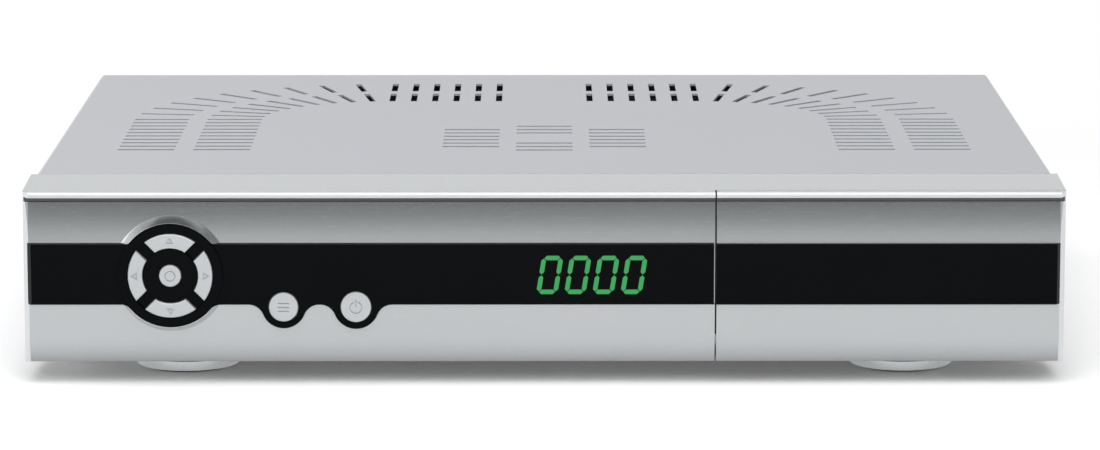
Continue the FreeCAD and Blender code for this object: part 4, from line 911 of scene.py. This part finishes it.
# body with the socket's outline, wider at the top
def serialTrapeze(inset, start, end):
    half, rise, lean = serial["width"] / 2 - inset, serial["height"] / 2 - inset, serial["lean"]
    x, z = serial["x"], serial["z"]
    shape = bmesh.new()
    drawOutline(shape, [(x - half, z + rise), (x + half, z + rise), (x + half - lean, z - rise),
                        (x - half + lean, z - rise)], start)
    thicken(shape, end - start)
    roundEdges(shape, serial["corner"] - inset, 6, lambda first, last: abs(first.y - last.y) > 1)
    return shape


def buildSerial():
    x, z, face, end = serial["x"], serial["z"], serial["face"], serial["end"]
    reach, front, back = serial["flange"]
    half, depth, lower = serial["body"]
    low, high = serial["low"], serial["high"]
    shell = serialTrapeze(0, back - 0.2, end)
    metal = [block(x - reach, x + reach, front, back, low, high),
             block(x - half, x + half, front - depth, front - 0.02, low, high - lower),
             combine(shell, [serialTrapeze(serial["wall"], face, end + 1)], "DIFFERENCE")]
    for side in (-1, 1):
        metal.append(turnedNut(x + side * serial["postX"], z, serial["postStart"], serial["post"],
                               end - serial["postStart"], serial["postHole"]))
    pin, tip = serial["pin"], serial["pinEnd"]
    section = [(0, face - 0.1), (pin, face - 0.1), (pin, tip - 0.4), (pin * 0.6, tip), (0, tip)]
    for row, count in serial["rows"]:
        for index in range(count):
            metal.append(lathe(section, x + (index - (count - 1) / 2) * serial["pinPitch"],
                               z + row * serial["rowPitch"], 16))
    piece = addPiece("serialSocket", gather(metal), "case", "plain_steel")
    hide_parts("serial_socket")
    insert = serialTrapeze(serial["wall"] + 0.06, face + 0.02, face + 0.5)
    addPiece("serialInsert", insert, "case", "dark_plastic")


# sprung wires that rise from the mouth's floor
def buildNetworkWires():
    half, thick, rise = network["wire"], network["thick"], network["rise"]
    length = network["front"] - network["back"]
    shapes = []
    for index in range(network["count"]):
        wire = block(-half, half, 0, length, -thick, thick)
        swing(wire, -math.degrees(math.atan2(rise, length)), "X")
        shift(wire, (network["x"] + (index - (network["count"] - 1) / 2) * network["pitch"],
                     network["back"], network["sill"] + rise))
        shapes.append(wire)
    addPiece("networkWires", gather(shapes), "case", "bright_nickel")


# the marks follow the rocker's hollow face
def buildRockerMarks():
    thick, proud, hollow = marks["thick"], marks["proud"], marks["hollow"]
    half, height = marks["stroke"]
    inner, outer = marks["ring"]
    stroke = block(-half, half, -thick, proud, -height, height)
    ring = lathe([(inner, -thick), (outer, -thick), (outer, proud), (inner, proud), (inner, -thick)],
                 0, 0, 32)
    shapes = []
    for shape, side in ((stroke, 1), (ring, -1)):
        for vert in shape.verts:
            vert.co.z += side * marks["away"]
            vert.co.y += marks["middle"] + hollow - math.sqrt(hollow ** 2 - vert.co.z ** 2)
        swing(shape, marks["turn"], "X")
        shift(shape, (marks["x"], marks["axle"], marks["z"]))
        shapes.append(shape)
    addPiece("rockerMarks", gather(shapes), "rocker", "white_plastic")


buildAerials()
buildAudio()
buildSerial()
buildNetworkWires()
buildRockerMarks()
print("rear sockets")


# lip along the top of the front, with its own length on the door, in a less metallic copy of the
# front's silver that gives a painted highlight
lip = {
    "low": 54.58, "thick": 0.5,
    "centre": 54.9, "away": 1.6, "round": 1.62,    # its rounding: height, depth and radius
    "spans": {"frontLip": (-172.0, 55.65, "case"), "doorLip": (56.15, 172.0, "front_door")},
    "colour": (0.53, 0.541, 0.553),
}


def buildLips():
    # a less metallic copy of the front's silver, which renders lighter: painted highlight along the lip
    finish = metallicLacquer("lipHighlightSilver", lip["colour"], 0.3, 0.34, 0.2)
    away, centre, radius, low, thick = (lip[key] for key in ("away", "centre", "round", "low", "thick"))
    for name, (left, right, body) in lip["spans"].items():
        shape = bmesh.new()
        start = bmesh.ops.create_vert(shape, co=(left, away - radius, centre))["vert"][0]
        bmesh.ops.spin(shape, geom=[start], cent=(left, away, centre), axis=(1, 0, 0),
                       angle=math.radians(-90), steps=14)
        drawRun(shape, [(left, away, centre + radius), (left, away, centre + radius - thick),
                        (left, thick, low + thick), (left, thick, low), (left, away - radius, low),
                        (left, away - radius, centre)])
        bmesh.ops.remove_doubles(shape, verts=shape.verts, dist=0.004)
        bmesh.ops.contextual_create(shape, geom=shape.edges[:])
        grow(shape, (right - left, 0, 0))
        for side in (-1, 1):
            cutCorner(shape, side)
        tidy(shape)
        addPiece(name, shape, body, "front_silver", finish)


buildLips()
print("lip")


# lit bars of the digits
display = {
    "front": -1.8,                # the window's front
    "glow": 0.04,                 # how far the lit bars stand out of it
}


def buildDigits():
    shape = bmesh.new()
    shape.from_mesh(nodes["display_digits"].data)
    bmesh.ops.remove_doubles(shape, verts=shape.verts, dist=0.002 * mm)
    bmesh.ops.dissolve_limit(shape, angle_limit=math.radians(1), verts=shape.verts, edges=shape.edges)
    shift(shape, (0, -lipY, -baseZ))
    bmesh.ops.scale(shape, vec=(1 / mm, 1 / mm, 1 / mm), verts=shape.verts)
    front = min(vert.co.y for vert in shape.verts)
    shift(shape, (0, display["front"] - display["glow"] - front, 0))
    addPiece("digitGlow", shape, "case", "digit_green")


buildDigits()
print("display lit")


# floor, lamps and what metal and gloss mirror
room = {
    "floor": 0.98,                # how white the floor is
    "glow": 0.1,                  # how much the camera sees of its plain white in front
    "fade": (0.2, 0.5),           # where the floor behind turns all plain, in metres
    "plain": 0.85,                # level of that white in metal and gloss
    "mirrored": 0.6,              # and how much metal and gloss show of that
    "sky": 0.476,                 # light from all round
    "overhead": (0.0, -0.5, 1.5, 1.6, 1.0, 11.9),    # lamps: place, size and watts
    "left": (-1.6, 0.95, 0.42, 0.9, 0.8, 11.9),
    "right": (1.7, 0.8, 0.3, 0.8, 0.6, 1.7),
    "front": (0.0, -1.25, 0.95, 1.4, 1.0, 12.75),
    "frontFlag": (0.0, -2.3, 0.45, 3.4, 0.4),        # dark sheets: place and size
    "backFlag": (0.75, 0.95, 1.5, 2.2, 1.7),
    "flagShade": 0.03,
    "floorSize": 9.0,
}
camera = {
    "place": (0.1 * mm, lipY - 1536.7 * mm, baseZ + 309.1 * mm),
    "pitch": 9.727,               # degrees down
    "yaw": -0.068, "roll": 0.016,
    "lens": 156.8, "sensor": 36.0,    # millimetres
    "near": 0.05, "far": 50.0,
}


def addLamp(name):
    x, y, z, width, height, power = room[name]
    lamp = bpy.data.lights.new(name, "AREA")
    lamp.shape = "RECTANGLE"
    lamp.size, lamp.size_y = width, height
    lamp.energy = power
    holder = bpy.data.objects.new(name, lamp)
    holder.location = (x, y, z)
    holder.rotation_euler = (-holder.location).to_track_quat("-Z", "Y").to_euler()
    bpy.context.scene.collection.objects.link(holder)
    return holder


# flat sheet of the studio: the floor lies, and the flags stand across the view
def addSheet(name, x, y, z, width, height, paint):
    shape = bmesh.new()
    bmesh.ops.create_grid(shape, x_segments=1, y_segments=1, size=0.5)
    bmesh.ops.scale(shape, vec=(width, height, 1), verts=shape.verts)
    if name != "floor":
        swing(shape, 90, "X")
    shift(shape, (x, y, z))
    mesh = bpy.data.meshes.new(name)
    shape.to_mesh(mesh)
    shape.free()
    sheet = bpy.data.objects.new(name, mesh)
    bpy.context.scene.collection.objects.link(sheet)
    sheet.data.materials.append(paint.material)
    return sheet


def buildStudio():
    white = Paint("floorWhite")
    white.set(Base_Color=shade((1, 1, 1), room["floor"]), Roughness=0.9, Specular_IOR_Level=0.0)
    ray = white.node("ShaderNodeLightPath", {})
    outlets = ray.socket.node.outputs
    mirrored = Link(white, outlets["Is Glossy Ray"]) * (Link(white, outlets["Ray Depth"]) < 1.5)
    level = white.blend(mirrored, (1, 1, 1, 1), shade((1, 1, 1), room["plain"]))
    plain = white.node("ShaderNodeEmission", {}, level, 1.0)
    depth = white.node("ShaderNodeSeparateXYZ", {}, white.places(), out=1)
    behind = white.node("ShaderNodeMapRange", {"interpolation_type": "SMOOTHSTEP"},
                        depth, *room["fade"])
    glow = behind * (1 - room["glow"]) + room["glow"]
    seen = white.node("ShaderNodeMixShader", {}, ray * glow + mirrored * room["mirrored"],
                      Link(white, white.shader.outputs[0]), plain)
    white.tree.links.new(seen.socket, white.tree.nodes["Material Output"].inputs["Surface"])
    addSheet("floor", 0, 0, 0, room["floorSize"], room["floorSize"], white)
    dark = Paint("flagDark")
    dark.set(Base_Color=shade((1, 1, 1), room["flagShade"]), Roughness=1.0, Specular_IOR_Level=0.0)
    for name in ("frontFlag", "backFlag"):
        flag = addSheet(name, *room[name], dark)
        flag.visible_camera = flag.visible_diffuse = flag.visible_shadow = False   # only mirrored
    buildSky()
    for name in ("overhead", "left", "right"):
        addLamp(name)
    addLamp("front").visible_glossy = False
    bpy.context.scene.view_settings.view_transform = "Standard"


# light from all round, which the camera and mirrors see as plain white
def buildSky():
    world = bpy.data.worlds.new("studio")
    bpy.context.scene.world = world
    world.use_nodes = True
    tree = world.node_tree
    sky = tree.nodes["Background"]
    sky.inputs["Color"].default_value = (1, 1, 1, 1)
    sky.inputs["Strength"].default_value = room["sky"]
    backdrop = tree.nodes.new("ShaderNodeBackground")
    backdrop.inputs["Color"].default_value = (1, 1, 1, 1)
    ray = tree.nodes.new("ShaderNodeLightPath")
    seen = ray.outputs["Is Camera Ray"]
    for kind in ("Is Glossy Ray", "Is Transmission Ray"):
        either = tree.nodes.new("ShaderNodeMath")
        either.operation = "MAXIMUM"
        tree.links.new(seen, either.inputs[0])
        tree.links.new(ray.outputs[kind], either.inputs[1])
        seen = either.outputs[0]
    mix = tree.nodes.new("ShaderNodeMixShader")
    tree.links.new(seen, mix.inputs[0])
    tree.links.new(sky.outputs[0], mix.inputs[1])
    tree.links.new(backdrop.outputs[0], mix.inputs[2])
    tree.links.new(mix.outputs[0], tree.nodes["World Output"].inputs["Surface"])


def buildCamera():
    eye = bpy.data.cameras.new("camera")
    eye.lens = camera["lens"]
    eye.sensor_width = camera["sensor"]
    eye.clip_start, eye.clip_end = camera["near"], camera["far"]
    holder = bpy.data.objects.new("camera", eye)
    holder.location = camera["place"]
    holder.rotation_euler = (math.radians(90 - camera["pitch"]), math.radians(camera["roll"]),
                             math.radians(camera["yaw"]))
    bpy.context.scene.collection.objects.link(holder)
    bpy.context.scene.camera = holder


buildStudio()
buildCamera()
print("studio and camera set")
